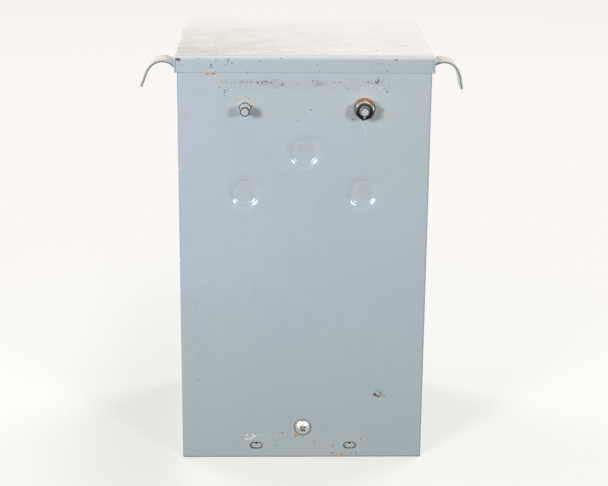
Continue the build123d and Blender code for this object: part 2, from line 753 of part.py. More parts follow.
def winding_ring(start, thickness, grooves):
    """Ring round the former from the build-up start outwards; grooves part its turns."""
    inner_x = tube_outer_x + 2 * start
    inner_y = tube_outer_y + 2 * start
    with BuildPart() as ring:
        with BuildSketch(Plane.XY.offset(winding_bottom)):
            if start > 0:
                RectangleRounded(
                    inner_x + 2 * thickness,
                    inner_y + 2 * thickness,
                    coil_corner_radius,
                )
                RectangleRounded(inner_x, inner_y, coil_corner_radius, mode=Mode.SUBTRACT)
            else:
                RectangleRounded(
                    inner_x + 2 * thickness,
                    inner_y + 2 * thickness,
                    coil_corner_radius,
                )
                Rectangle(inner_x, inner_y, mode=Mode.SUBTRACT)
        extrude(amount=winding_height)
        for turn in range(1, grooves):
            groove_z = winding_bottom + turn * winding_height / grooves
            with BuildSketch(Plane.XY.offset(groove_z - winding_groove / 2)):
                RectangleRounded(
                    inner_x + 2 * thickness,
                    inner_y + 2 * thickness,
                    coil_corner_radius,
                )
                RectangleRounded(
                    inner_x + 2 * thickness - 2 * winding_groove,
                    inner_y + 2 * thickness - 2 * winding_groove,
                    coil_corner_radius - winding_groove,
                    mode=Mode.SUBTRACT,
                )
            extrude(amount=winding_groove, mode=Mode.SUBTRACT)
    return ring.part


insulation_start = inner_winding_thickness
outer_start = insulation_start + insulation_thickness
wrap_start = outer_start + outer_winding_thickness
coil_layers = (
    ("inner_winding", 0, inner_winding_thickness, winding_turns),
    ("winding_insulation", insulation_start, insulation_thickness, 0),
    ("outer_winding", outer_start, outer_winding_thickness, winding_turns),
    ("coil_wrap", wrap_start, wrap_thickness, 0),
)
for layer_name, layer_start, layer_thickness, layer_turns in coil_layers:
    with BuildPart() as coil_layer:
        add(winding_ring(layer_start, layer_thickness, layer_turns))
    finish(coil_layer, layer_name)

# Terminal board under the shelf's opening, with bolts, nuts, screws and leads
board_top = shelf_height
with BuildPart() as terminal_board:
    with BuildSketch(Plane.XY.offset(board_top - board_thickness)):
        with Locations((0, terminal_row_y)):
            RectangleRounded(board_length, board_depth, sheet)
            with GridLocations(terminal_pitch, 0, terminal_count, 1):
                Circle(terminal_radius + small_hole_clearance, mode=Mode.SUBTRACT)
            with GridLocations(2 * board_screw_half_span, 0, 2, 1):
                Circle(small_screw_radius + small_hole_clearance, mode=Mode.SUBTRACT)
    extrude(amount=board_thickness)
    chamfer(terminal_board.faces().sort_by(Axis.Z)[0].outer_wire().edges(), sheet / 2)
finish(terminal_board, "terminal_board")

board_screw = washer_head_screw(board_thickness + sheet + clamp_bolt_tail)
board_under = Plane(origin=(0, terminal_row_y, board_top - board_thickness), z_dir=(0, 0, -1))
with BuildPart() as board_screws:
    with Locations(board_under):
        with GridLocations(2 * board_screw_half_span, 0, 2, 1):
            add(board_screw)
finish(board_screws, "board_screws")

with BuildPart() as terminal_bolts:
    with BuildSketch(Plane.XY.offset(board_top)):
        with Locations((0, terminal_row_y)):
            with GridLocations(terminal_pitch, 0, terminal_count, 1):
                RegularPolygon(terminal_head_flats / 2, 6, major_radius=False)
    extrude(amount=terminal_head_height)
    with BuildSketch(Plane.XY.offset(board_top)):
        with Locations((0, terminal_row_y)):
            with GridLocations(terminal_pitch, 0, terminal_count, 1):
                Circle(terminal_radius)
    extrude(amount=-terminal_length)
    chamfer(terminal_bolts.faces().group_by(Axis.Z)[0].edges(), bolt_chamfer)
finish(terminal_bolts, "terminal_bolts")

with BuildPart() as terminal_nuts:
    with BuildSketch(Plane.XY.offset(board_top - board_thickness)):
        with Locations((0, terminal_row_y)):
            with GridLocations(terminal_pitch, 0, terminal_count, 1):
                RegularPolygon(terminal_nut_flats / 2, 6, major_radius=False)
                Circle(terminal_radius + nut_bore_clearance, mode=Mode.SUBTRACT)
    extrude(amount=-terminal_nut_thickness)
finish(terminal_nuts, "terminal_nuts")

lead_bottom = board_top + terminal_head_height
with BuildPart() as lead_bars:
    with BuildSketch(Plane.XY.offset(lead_bottom)):
        with Locations((0, terminal_row_y)):
            with GridLocations(terminal_pitch, 0, terminal_count, 1):
                Rectangle(lead_width, lead_thickness)
    extrude(amount=former_bottom - lead_bottom)
finish(lead_bars, "lead_bars")

# Potting compound: fills the enclosure from the shelf up, round everything that stands in it
compound_depth = lip_inner_y - wall_inner_y
with BuildPart() as potting_compound:
    with BuildSketch(Plane.XY.offset(shelf_top)):
        with Locations((0, wall_inner_y + compound_depth / 2)):
            RectangleRounded(2 * side_inner_x, compound_depth, bend_radius - sheet)
    extrude(amount=compound_top - shelf_top)
    for dimple_place in dimple_places:
        with BuildSketch(dimple_place):
            Circle(dimple_rim_radius)
        extrude(amount=-dimple_depth - sheet, mode=Mode.SUBTRACT)
    with BuildSketch(Plane.XY.offset(core_bottom)):
        Rectangle(core_width, core_stack)
    extrude(amount=core_height, mode=Mode.SUBTRACT)
    with BuildSketch(Plane.XY.offset(former_bottom)):
        RectangleRounded(cheek_x, cheek_y, coil_corner_radius)
    extrude(amount=former_height, mode=Mode.SUBTRACT)
    for buried in (*clamp_blanks, clamp_bolts.part, clamp_nut_blanks):
        add(buried, mode=Mode.SUBTRACT)
    for buried in (terminal_bolts.part, board_screws.part, lead_bars.part):
        add(buried, mode=Mode.SUBTRACT)
finish(potting_compound, "potting_compound")
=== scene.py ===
import json
import math

import bmesh
import bpy
from mathutils import Matrix, Vector


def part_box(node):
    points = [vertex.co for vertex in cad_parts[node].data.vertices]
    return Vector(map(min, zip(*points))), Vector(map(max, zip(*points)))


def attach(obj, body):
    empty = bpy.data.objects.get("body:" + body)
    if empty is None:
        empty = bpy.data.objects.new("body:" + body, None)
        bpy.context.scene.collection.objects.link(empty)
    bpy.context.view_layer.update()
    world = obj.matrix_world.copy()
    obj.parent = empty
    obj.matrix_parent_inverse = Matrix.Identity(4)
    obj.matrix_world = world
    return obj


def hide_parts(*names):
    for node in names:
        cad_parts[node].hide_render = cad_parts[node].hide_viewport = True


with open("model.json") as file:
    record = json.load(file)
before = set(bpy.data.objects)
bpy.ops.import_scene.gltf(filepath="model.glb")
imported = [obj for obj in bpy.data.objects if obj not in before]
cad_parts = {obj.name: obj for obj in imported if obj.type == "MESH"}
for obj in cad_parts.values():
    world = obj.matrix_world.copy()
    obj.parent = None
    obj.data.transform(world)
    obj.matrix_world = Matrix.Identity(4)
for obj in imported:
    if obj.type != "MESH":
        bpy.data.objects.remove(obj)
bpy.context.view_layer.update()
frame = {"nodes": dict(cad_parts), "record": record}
print("frame loaded:", len(frame["nodes"]), "nodes")

# Places and sizes are millimetres in the part's frame; mm turns them to metres
mm = 0.001


def edgeOf(node, side, axis):
    # one face of a CAD node's box in millimetres: side 0 is its lowest, 1 its highest
    return getattr(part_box(node)[side], axis) / mm


wallFace = edgeOf("enclosure_wrap", 0, "y")
lidTop = edgeOf("lid", 1, "z")
lidFront = edgeOf("lid", 0, "y")
studTip = edgeOf("mounting_bolts", 0, "y")
nutX = (edgeOf("stud_nut", 0, "x") + edgeOf("stud_nut", 1, "x")) / 2
studZ = (edgeOf("mounting_bolts", 0, "z") + edgeOf("mounting_bolts", 1, "z")) / 2
screwX = (edgeOf("ground_screw", 0, "x") + edgeOf("ground_screw", 1, "x")) / 2
screwZ = (edgeOf("ground_screw", 0, "z") + edgeOf("ground_screw", 1, "z")) / 2


def srgb(red, green, blue):
    # a colour as a picture shows it, 0 to 255, turned to the linear values that shaders use
    linear = []
    for part in (red, green, blue):
        part = part / 255
        linear.append(part / 12.92 if part < 0.04045 else ((part + 0.055) / 1.055) ** 2.4)
    return (*linear, 1)


# Camera, as fitted to the case's edges in the photograph
cameraView = {
    "place": (-33.1, -1532.7, 665.9),
    "yaw": 1.346,
    "pitch": 17.239,
    "roll": 0.443,
    "focalPixels": 1571.3,
    "imageWidth": 608,
    "sensor": 36,
    "farLimit": 50,
}


def addCamera():
    data = bpy.data.cameras.new("camera")
    data.sensor_width = cameraView["sensor"]
    data.lens = cameraView["focalPixels"] * cameraView["sensor"] / cameraView["imageWidth"]
    data.clip_end = cameraView["farLimit"]
    eye = bpy.data.objects.new("camera", data)
    bpy.context.scene.collection.objects.link(eye)
    yaw = math.radians(cameraView["yaw"])
    pitch = math.radians(cameraView["pitch"])
    roll = math.radians(cameraView["roll"])
    turn = Matrix.Rotation(-yaw, 4, "Z") @ Matrix.Rotation(math.pi / 2 - pitch, 4, "X")
    turn = turn @ Matrix.Rotation(roll, 4, "Z")
    eye.matrix_world = Matrix.Translation(Vector(cameraView["place"]) * mm) @ turn
    bpy.context.scene.camera = eye


addCamera()


class Link:
    # an output socket of the material being built; sums on it add Math nodes
    tree = None

    def __init__(self, socket):
        self.socket = socket

    @classmethod
    def node(cls, kind, settings, sockets, output=0):
        made = cls.tree.nodes.new(kind)
        for name, value in settings.items():
            if name == "stops":
                ramp = made.color_ramp.elements
                ramp[0].position, ramp[0].color = value[0]
                ramp[1].position, ramp[1].color = value[-1]
                for place, colour in value[1:-1]:
                    ramp.new(place).color = colour
            else:
                setattr(made, name, value)
        for name, value in sockets.items():
            if isinstance(value, Link):
                cls.tree.links.new(value.socket, made.inputs[name])
            else:
                made.inputs[name].default_value = value
        if not made.outputs:
            return None
        return cls(made.outputs[output])

    @staticmethod
    def maths(operation, first, second=0.0):
        return Link.node("ShaderNodeMath", {"operation": operation}, {0: first, 1: second})

    def __add__(self, other):
        return self.maths("ADD", self, other)

    def __radd__(self, other):
        return self.maths("ADD", other, self)

    def __sub__(self, other):
        return self.maths("SUBTRACT", self, other)

    def __rsub__(self, other):
        return self.maths("SUBTRACT", other, self)

    def __mul__(self, other):
        return self.maths("MULTIPLY", self, other)

    def __abs__(self):
        return self.maths("ABSOLUTE", self)

    def least(self, other):
        return self.maths("MINIMUM", self, other)

    def most(self, other):
        return self.maths("MAXIMUM", self, other)

    def rise(self, low, high):
        # 0 below low and 1 above high, smooth between; with low above high it falls instead
        return Link.node(
            "ShaderNodeMapRange",
            {"interpolation_type": "SMOOTHSTEP"},
            {"Value": self, "From Min": low, "From Max": high},
        )


def startMaterial(name):
    # an empty material, and the place on its piece in millimetres
    material = bpy.data.materials.new(name)
    material.use_nodes = True
    Link.tree = material.node_tree
    Link.tree.nodes.clear()
    return material, millimetres()


def finishMaterial(material, sockets):
    shader = Link.node("ShaderNodeBsdfPrincipled", {}, sockets)
    Link.node("ShaderNodeOutputMaterial", {}, {"Surface": shader})
    return material


def vectorOf(operation, first, second=(0, 0, 0), output=0):
    settings = {"operation": operation}
    return Link.node("ShaderNodeVectorMath", settings, {0: first, 1: second}, output)


def lengthOf(place):
    return vectorOf("LENGTH", place, output="Value")


def hypotenuse(across, up):
    return Link.maths("SQRT", across * across + up * up)


def millimetres():
    place = Link.node("ShaderNodeTexCoord", {}, {}, "Object")
    return vectorOf("MULTIPLY", place, (1 / mm, 1 / mm, 1 / mm))


def split(place):
    return [Link.node("ShaderNodeSeparateXYZ", {}, {0: place}, axis) for axis in "XYZ"]


def facing(axis):
    # the surface's own direction along one axis, for dust that lies on what faces up
    normal = Link.node("ShaderNodeNewGeometry", {}, {}, "Normal")
    return Link.node("ShaderNodeSeparateXYZ", {}, {0: normal}, axis)


def noise(place, grain, detail=3, harshness=0.6, output="Fac"):
    # grain is the pattern's size in millimetres, or one for each axis
    if isinstance(grain, tuple):
        place = vectorOf("MULTIPLY", place, tuple(1 / part for part in grain))
        grain = 1
    sockets = {"Vector": place, "Scale": 1 / grain, "Detail": detail, "Roughness": harshness}
    return Link.node("ShaderNodeTexNoise", {}, sockets, output)


def mottled(place, grain, low, high, detail=3, harshness=0.6):
    # noise cut to a mask: 0 where it stays below low and 1 where it passes high
    return noise(place, grain, detail, harshness).rise(low, high)


def shaken(place, grain, reach):
    # the place, moved about by up to reach millimetres, so that outlines come out ragged
    centred = vectorOf("SUBTRACT", noise(place, grain, output="Color"), (0.5, 0.5, 0.5))
    return vectorOf("ADD", place, vectorOf("MULTIPLY", centred, (2 * reach, 2 * reach, 2 * reach)))


def blendColour(mask, under, over):
    settings = {"data_type": "RGBA"}
    return Link.node("ShaderNodeMix", settings, {0: mask, 6: under, 7: over}, 2)


def laid(colour, layers, masks):
    # lays named layers over a colour; each is red, green, blue and how strongly it covers
    for name, mask in masks.items():
        *tint, strength = layers[name]
        colour = blendColour(mask * strength, colour, srgb(*tint))
    return colour


def distance(place, centre, stretch):
    # how far the place is from centre, each axis multiplied by its stretch first
    return lengthOf(vectorOf("MULTIPLY", vectorOf("SUBTRACT", place, centre), stretch))


def fromAxis(place, x, z):
    # how far the place is from a line along y
    return distance(place, (x, 0, z), (1, 0, 1))


def nearest(reaches, soft):
    # the mask of all marks, from the distances to each, in which 1 is a mark's edge
    closest = reaches[0]
    for reach in reaches[1:]:
        closest = closest.least(reach)
    return closest.rise(1 + soft, 1 - soft)


def wallSpots(place, marks, soft):
    # marks are (x, z, half width, half height) on a face that looks along y
    return nearest([
        distance(place, (x, 0, z), (1 / width, 0, 1 / height)) for x, z, width, height in marks
    ], soft)


def topSpots(place, marks, soft):
    # marks are (x, y, half width, half depth) on a face that looks up
    return nearest([
        distance(place, (x, y, 0), (1 / width, 1 / depth, 0)) for x, y, width, depth in marks
    ], soft)


def wallLines(place, marks, soft):
    # thin marks on the wall: as wallSpots, each with its lean from upright in degrees
    reaches = []
    for x, z, width, height, lean in marks:
        moved = vectorOf("SUBTRACT", place, (x, 0, z))
        turn = {0: moved, "Angle": math.radians(lean)}
        turned = Link.node("ShaderNodeVectorRotate", {"rotation_type": "Y_AXIS"}, turn)
        reaches.append(distance(turned, (0, 0, 0), (1 / width, 0, 1 / height)))
    return nearest(reaches, soft)


def patch(across, up, left, right, bottom, top, soft):
    sides = across.rise(left - soft, left + soft) * across.rise(right + soft, right - soft)
    ends = up.rise(bottom - soft, bottom + soft) * up.rise(top + soft, top - soft)
    return sides * ends


def patches(across, up, marks):
    # marks are (left, right, bottom, top, softness, strength)
    covered = None
    for *edges, strength in marks:
        one = patch(across, up, *edges) * strength
        covered = one if covered is None else covered.most(one)
    return covered


def bumped(height, depth, normal=None):
    sockets = {"Height": height, "Distance": depth * mm, "Strength": 1.0}
    if normal is not None:
        sockets["Normal"] = normal
    return Link.node("ShaderNodeBump", {}, sockets)


# The enamel of every sheet steel piece: faint clouding, orange peel and a thin gloss
enamel = {
    "colour": srgb(178, 191, 203),
    "faded": srgb(182, 194, 205),
    "grimeAndShade": srgb(161, 175, 171),
    "shaded": srgb(165, 177, 190),
    "wiped": (190, 199, 205, 0.1),
    "cloud": 110,
    "mottle": 13,
    "grain": 1.8,
    "wipedGrain": (7, 7, 160),
    "peel": 2.4,
    "peelDepth": 0.012,
    "dentDepth": 0.12,
    "roughness": 0.41,
    "unevenness": 0.1,
    "unevenGrain": 26,
    "dulling": 0.3,
    "sheen": 0.3,
    "gloss": 0.8,
    "glossRoughness": 0.19,
    "glossIor": 1.62,
}
rust = {
    "dark": srgb(122, 74, 42),
    "middle": srgb(178, 114, 60),
    "bright": srgb(214, 160, 98),
    "grain": 1.4,
}


def enamelColour(place):
    cloud = mottled(place, enamel["cloud"], 0.35, 0.65, 4, 0.55)
    shade = blendColour(cloud, enamel["colour"], enamel["faded"])
    mottle = mottled(place, enamel["mottle"], 0.48, 0.72, 5, 0.62)
    shade = blendColour(mottle * 0.2, shade, enamel["grimeAndShade"])
    grain = mottled(place, enamel["grain"], 0.5, 0.72)
    shade = blendColour(grain * 0.14, shade, enamel["shaded"])
    # the faint upright streaks that wiping leaves
    return laid(shade, enamel, {"wiped": mottled(place, enamel["wipedGrain"], 0.52, 0.72)})


def rustColour(place):
    grain = noise(place, rust["grain"], 4, 0.65)
    stops = [(0.36, rust["dark"]), (0.5, rust["middle"]), (0.64, rust["bright"])]
    return Link.node("ShaderNodeValToRGB", {"stops": stops}, {"Fac": grain})


def enamelSockets(place, colour, height=None, dulled=None):
    normal = bumped(noise(place, enamel["peel"], 2, 0.5), enamel["peelDepth"])
    if height is not None:
        normal = bumped(height, enamel["dentDepth"], normal)
    roughness = noise(place, enamel["unevenGrain"]) * enamel["unevenness"] + enamel["roughness"]
    gloss = enamel["gloss"]
    if dulled is not None:
        roughness = roughness + dulled * enamel["dulling"]
        gloss = (1 - dulled) * gloss
    return {
        "Base Color": colour,
        "Roughness": roughness,
        "Specular IOR Level": enamel["sheen"],
        "Coat Weight": gloss,
        "Coat Roughness": enamel["glossRoughness"],
        "Coat IOR": enamel["glossIor"],
        "Normal": normal,
    }


# Marks on the mounting side: spots are (x, z, half width, half height), scratches add their
# lean from upright, the gouge's spots a tint and its strength; the brackets' footprints and
# the band are (left, right, bottom, top), and edges and lines add softness and strength
caseWear = {
    "upperBracket": (-78.6, 79.8, 340.0, 381.4),
    "lowerBracket": (-55.8, 59.2, 1.5, 26.3),
    "scuffBand": (-70, 76, 371.5, 380.5),
    "bracketEdges": [(-30, 78, 339.6, 340.5, 0.5, 0.35), (-4, 46, 2.6, 5.6, 1.2, 0.45)],
    "drawnLines": [
        (-102.3, -101.5, 14, 165, 0.6, 1), (-61.6, -60.8, 70, 195, 0.6, 0.6),
        (65.4, 66.2, 70, 165, 0.6, 0.8),
    ],
    "stains": [
        (-86.8, 385.1, 5.8, 1.7), (-78.6, 373.0, 1.5, 1.4), (-54.5, 362.9, 3.0, 0.9),
        (-49.3, 357.0, 1.4, 1.8), (-62.6, 360.2, 1.6, 1.6), (77.8, 346.0, 0.7, 5.0),
        (31.0, 11.4, 1.5, 2.0), (38.6, 3.2, 5.6, 1.6), (44.0, 21.0, 3.0, 1.6),
        (50.0, 16.4, 2.6, 1.0), (59.0, 15.0, 0.8, 3.4), (-6.7, 7.6, 1.0, 1.8),
        (2.6, 7.0, 1.6, 1.0), (12.4, 14.8, 2.6, 1.6), (-20.4, 26.2, 2.4, 2.0),
        (-6.0, 23.6, 2.2, 2.8),
    ],
    "rustSpots": [
        (-89.8, 385.3, 1.3, 1.0), (-84.0, 385.4, 2.2, 0.7), (-78.6, 373.0, 0.8, 0.8),
        (-51.4, 362.2, 0.7, 0.7), (-48.6, 355.2, 0.9, 0.8), (-19.6, 25.9, 1.1, 0.8),
        (-6.3, 23.0, 1.1, 1.4), (57.9, 18.8, 0.8, 1.1), (30.7, 11.9, 0.7, 0.9),
        (29.9, 3.9, 1.8, 0.6), (34.2, 4.0, 1.2, 0.4), (39.6, 2.5, 1.0, 1.4),
        (72.9, 351.6, 0.5, 0.6),
    ],
    "darkSpecks": [
        (-74.2, 368.0, 0.8, 0.7), (-74.4, 364.6, 0.6, 0.6), (-73.9, 369.8, 0.5, 0.4),
        (-69.8, 362.4, 0.4, 0.4), (-43.4, 377.4, 0.9, 0.7), (-38.6, 377.9, 1.4, 0.5),
        (-36.0, 378.4, 1.5, 0.5), (-39.4, 376.4, 0.6, 0.8), (-20.1, 375.8, 0.9, 0.5),
        (-102.0, 81.8, 0.5, 0.8), (5.7, 351.6, 0.6, 1.0), (-6.3, 341.8, 0.5, 0.5),
        (45.3, 342.8, 0.9, 0.5), (-26.4, 12.9, 0.4, 1.0), (11.9, 17.2, 0.5, 0.8),
        (49.6, 5.0, 0.8, 0.5), (48.0, 3.6, 0.6, 0.4), (54.0, 3.6, 0.7, 0.7),
        (12.5, 14.4, 0.5, 0.5), (-53.8, 364.0, 0.5, 0.4), (76.8, 369.0, 0.6, 0.9),
    ],
    "paleChips": [
        (-117.4, 295.6, 0.9, 1.6), (-117.6, 174.8, 0.8, 1.4), (-117.6, 205.0, 0.5, 2.6),
        (117.5, 348.0, 0.6, 2.8), (61.9, 374.4, 1.2, 0.9), (70.2, 372.6, 0.9, 1.1),
        (53.4, 372.8, 0.9, 0.5), (-55.0, 23.2, 1.6, 1.0), (-54.6, 19.4, 2.2, 1.0),
        (-50.8, 19.8, 2.4, 1.2), (-47.4, 22.6, 2.0, 1.2), (-27.8, 22.9, 0.9, 0.7),
        (-43.0, 24.0, 1.0, 0.5), (-38.6, 22.8, 0.6, 0.4), (-34.2, 24.2, 0.7, 0.4),
        (-53.6, 25.0, 0.8, 0.7), (-49.0, 24.4, 1.2, 0.6), (-25.0, 23.6, 0.6, 0.5),
        (6.6, 349.4, 0.6, 0.5),
    ],
    "scratches": [
        (55.2, 336.4, 0.45, 3.4, 24), (58.0, 335.0, 0.45, 2.8, -28),
        (56.8, 331.0, 0.45, 2.6, 4), (-52.8, 21.6, 0.5, 3.2, 40),
    ],
    "crowds": [
        (-74.4, 377.8, 3.2, 1.8), (-66.0, 377.6, 2.6, 1.6), (-58.0, 377.6, 4.6, 1.8),
        (-50.0, 377.8, 3.4, 2.0), (-38.0, 377.4, 6.4, 2.4), (-29.0, 377.8, 5.2, 2.4),
        (-22.0, 376.4, 4.0, 2.6), (-27.0, 373.2, 3.0, 1.6), (-7.4, 376.6, 1.6, 1.0),
        (9.4, 379.0, 3.4, 1.4), (12.4, 376.0, 4.4, 2.2), (18.0, 377.4, 3.6, 1.8),
        (26.0, 377.8, 2.0, 1.0), (32.0, 377.6, 3.0, 1.2), (38.8, 372.4, 2.0, 1.4),
        (50.0, 372.4, 2.6, 1.2), (60.0, 378.0, 6.0, 1.4), (68.0, 378.4, 3.4, 2.4),
        (76.0, 370.8, 2.6, 2.4), (78.0, 374.6, 1.6, 2.6), (-72.0, 371.0, 2.4, 2.4),
    ],
    "gouge": [
        (74.9, 67.4, 5.4, 4.4, srgb(172, 180, 176), 0.45),
        (73.4, 68.7, 0.9, 1.0, srgb(176, 198, 172), 0.8),
        (73.2, 70.8, 1.4, 0.8, srgb(132, 152, 150), 0.7),
        (76.8, 68.6, 1.0, 1.5, srgb(112, 114, 76), 0.85),
        (77.6, 66.2, 1.3, 1.0, srgb(172, 150, 130), 0.7),
        (80.2, 65.2, 1.7, 0.7, srgb(122, 124, 132), 0.7),
        (69.9, 65.4, 1.6, 0.9, srgb(140, 138, 146), 0.7),
        (73.6, 63.9, 1.3, 0.8, srgb(204, 150, 116), 0.85),
        (75.0, 64.7, 1.3, 1.0, srgb(98, 62, 62), 0.95),
        (71.0, 67.1, 1.2, 1.2, srgb(60, 56, 42), 0.95),
        (72.3, 65.8, 1.2, 0.8, srgb(66, 56, 46), 0.95),
    ],
    "purpleChip": [(66.4, 377.4, 1.3, 0.9), (67.9, 379.4, 0.6, 1.8)],
}
# What lies or shows on the case: red, green, blue and how strongly it covers
caseLayers = {
    "greener": (178, 191, 184, 0.3),
    "underBrackets": (184, 196, 192, 1),
    "bracketEdges": (196, 186, 148, 0.7),
    "drawnLines": (124, 132, 138, 0.17),
    "scuffed": (158, 156, 170, 0.14),
    "scuffSpecks": (82, 74, 94, 1),
    "pepper": (120, 122, 128, 0.2),
    "dimpleFlatTint": (172, 178, 168, 1),
    # painted light on the dimples' upper slopes and painted shade on their lower ones
    "paintedLightUpperSlope": (198, 209, 216, 0.75),
    "paintedShadeLowerSlope": (158, 172, 184, 0.6),
    "washerPrint": (204, 211, 214, 0.45),
    "washerStain": (206, 192, 142, 0.66),
    # painted shade: dark rims round the stud, the screw and the slots
    "studRimShade": (76, 70, 92, 0.9),
    "screwRimShade": (104, 113, 115, 0.85),
    "slotRimShade": (34, 38, 54, 0.97),
    "primer": (236, 242, 240, 0.9),
    "darkSpecks": (74, 68, 78, 0.85),
    "stains": (208, 174, 118, 0.66),
    "purpleChip": (84, 50, 58, 0.9),
    # painted shadow along the foot of the case
    "foot": (104, 114, 124, 0.75),
    "sideFilm": (196, 199, 194, 0.28),
    "sideRubs": (130, 138, 142, 0.34),
    "sideKnocks": (206, 210, 210, 0.6),
}
# Where the case is pierced, pressed, tinted or painted with shade and light, the runs from where a
# tint starts to its full strength, and the depth of each kind of damage
casePlaces = {
    "wallRun": (wallFace + 6, wallFace + 4),
    "dullRun": (260, 0),
    "dull": 0.45,
    "rightShadeRun": (-130, 130),
    "shaded": 0.25,
    "greenAcross": (-10, 120),
    "greenUp": (180, 340),
    "slotMiddle": 1.0,
    "slotSpan": 46.2,
    "slotHeight": 12.5,
    "slotHalfRun": 2.8,
    "slotRimShade": (3.82, 3.44),
    "dimples": [(0, 311.1), (-55.6, 271.8), (55.6, 271.8)],
    "dimpleFlat": (11.8, 7.8),
    "dimpleSlopes": [(16.5, 13.5), (9.5, 11.5)],
    "print": (9.2, 8.2),
    "stainRing": [(7.6, 9.2), (12.2, 10.0)],
    "studHole": (5.8, 5.3),
    "screwRingShade": (9.5, 8.3),
    "footShadowRun": (1.5, 0.7),
    "gougeDepth": -1.6,
    "rustDepth": 0.6,
    "chipDepth": 0.8,
    "knockDepth": 0.5,
    "rusting": 0.8,
}


def caseWall(colour, place, wall):
    # the wide tints of the mounting side: darker and greener towards the bottom, painted shade
    # towards the right, brackets' footprints, drawn lines and scuffed band
    x, y, z = split(place)
    places = casePlaces
    # darker and greener towards the bottom
    colour = blendColour(z.rise(*places["dullRun"]) * places["dull"], colour, enamel["grimeAndShade"])
    # painted shade: the right of the side is darkened, as the stronger lamp is on the left
    shaded = x.rise(*places["rightShadeRun"]) * wall * places["shaded"]
    colour = blendColour(shaded, colour, enamel["shaded"])
    # where the brackets lay the enamel kept another tint
    upper = patch(x, z, *caseWear["upperBracket"], 1.8) * wall
    lower = patch(x, z, *caseWear["lowerBracket"], 1.8) * wall
    uneven = mottled(place, 16, 0.3, 0.62, 4) * 0.7 + 0.3
    edges = patches(x, z, caseWear["bracketEdges"]) * mottled(place, 5, 0.42, 0.6)
    drawn = patches(x, z, caseWear["drawnLines"]) * mottled(place, (8, 8, 26), 0.32, 0.58)
    # the scuffed band under the lid, with its crowds of small dark specks
    band = patch(x, z, *caseWear["scuffBand"], 4) * wall
    crowds = wallSpots(shaken(place, 1.6, 0.5), caseWear["crowds"], 0.5) * wall
    dots = noise(place, (1.25, 1.25, 0.95), 2, 0.45)
    dark = (dots.rise(0.53, 0.6) * crowds * 0.72).most(dots.rise(0.64, 0.7) * band * 0.4)
    return laid(colour, caseLayers, {
        "greener": x.rise(*places["greenAcross"]) * z.rise(*places["greenUp"]) * wall,
        "underBrackets": (upper * 0.3 + lower * 0.24) * uneven,
        "bracketEdges": edges * wall,
        "drawnLines": drawn * wall,
        "scuffed": band,
        "scuffSpecks": dark,
        "pepper": mottled(place, 1.1, 0.66, 0.74, 2, 0.5) * upper,
    })


def caseDimple(colour, place, ragged, wall, dimpleX, dimpleZ):
    # a dimple's flat is tinted olive, more on its upper part; its upper slope has painted light and
    # its lower slope painted shade, which even out the shading that the lamps give
    x, y, z = split(place)
    away = fromAxis(ragged, dimpleX, dimpleZ)
    above = z.rise(dimpleZ - 4, dimpleZ + 9)
    cloud = mottled(place, 4, 0.3, 0.62)
    outer, inner = casePlaces["dimpleSlopes"]
    slope = away.rise(*outer) * away.rise(*inner) * wall
    flat = away.rise(*casePlaces["dimpleFlat"]) * wall
    return laid(colour, caseLayers, {
        "dimpleFlatTint": flat * (cloud * 0.18 + 0.06 + above * cloud * 0.26),
        "paintedLightUpperSlope": slope * above,
        "paintedShadeLowerSlope": slope * z.rise(dimpleZ + 2, dimpleZ - 8),
    })


def caseRims(colour, place, ragged, wall):
    # washer print round the bare stud, and painted shade: a dark rim round the stud, dark lines
    # round screw and slots
    x, y, z = split(place)
    places = casePlaces
    away = fromAxis(ragged, -nutX, studZ)
    inner, outer = places["stainRing"]
    footprint = away.rise(*inner) * away.rise(*outer) * z.rise(studZ - 1, studZ + 6)
    fold = abs(abs(x - places["slotMiddle"]) - places["slotSpan"])
    run = (fold - places["slotHalfRun"]).most(0.0)
    reach = hypotenuse(run, z - places["slotHeight"])
    return laid(colour, caseLayers, {
        "washerPrint": away.rise(*places["print"]) * wall,
        "washerStain": footprint * mottled(place, 3.4, 0.36, 0.62) * wall,
        "studRimShade": fromAxis(place, -nutX, studZ).rise(*places["studHole"]) * wall,
        "screwRimShade": fromAxis(place, screwX, screwZ).rise(*places["screwRingShade"]) * wall,
        "slotRimShade": reach.rise(*places["slotRimShade"]) * wall,
    })


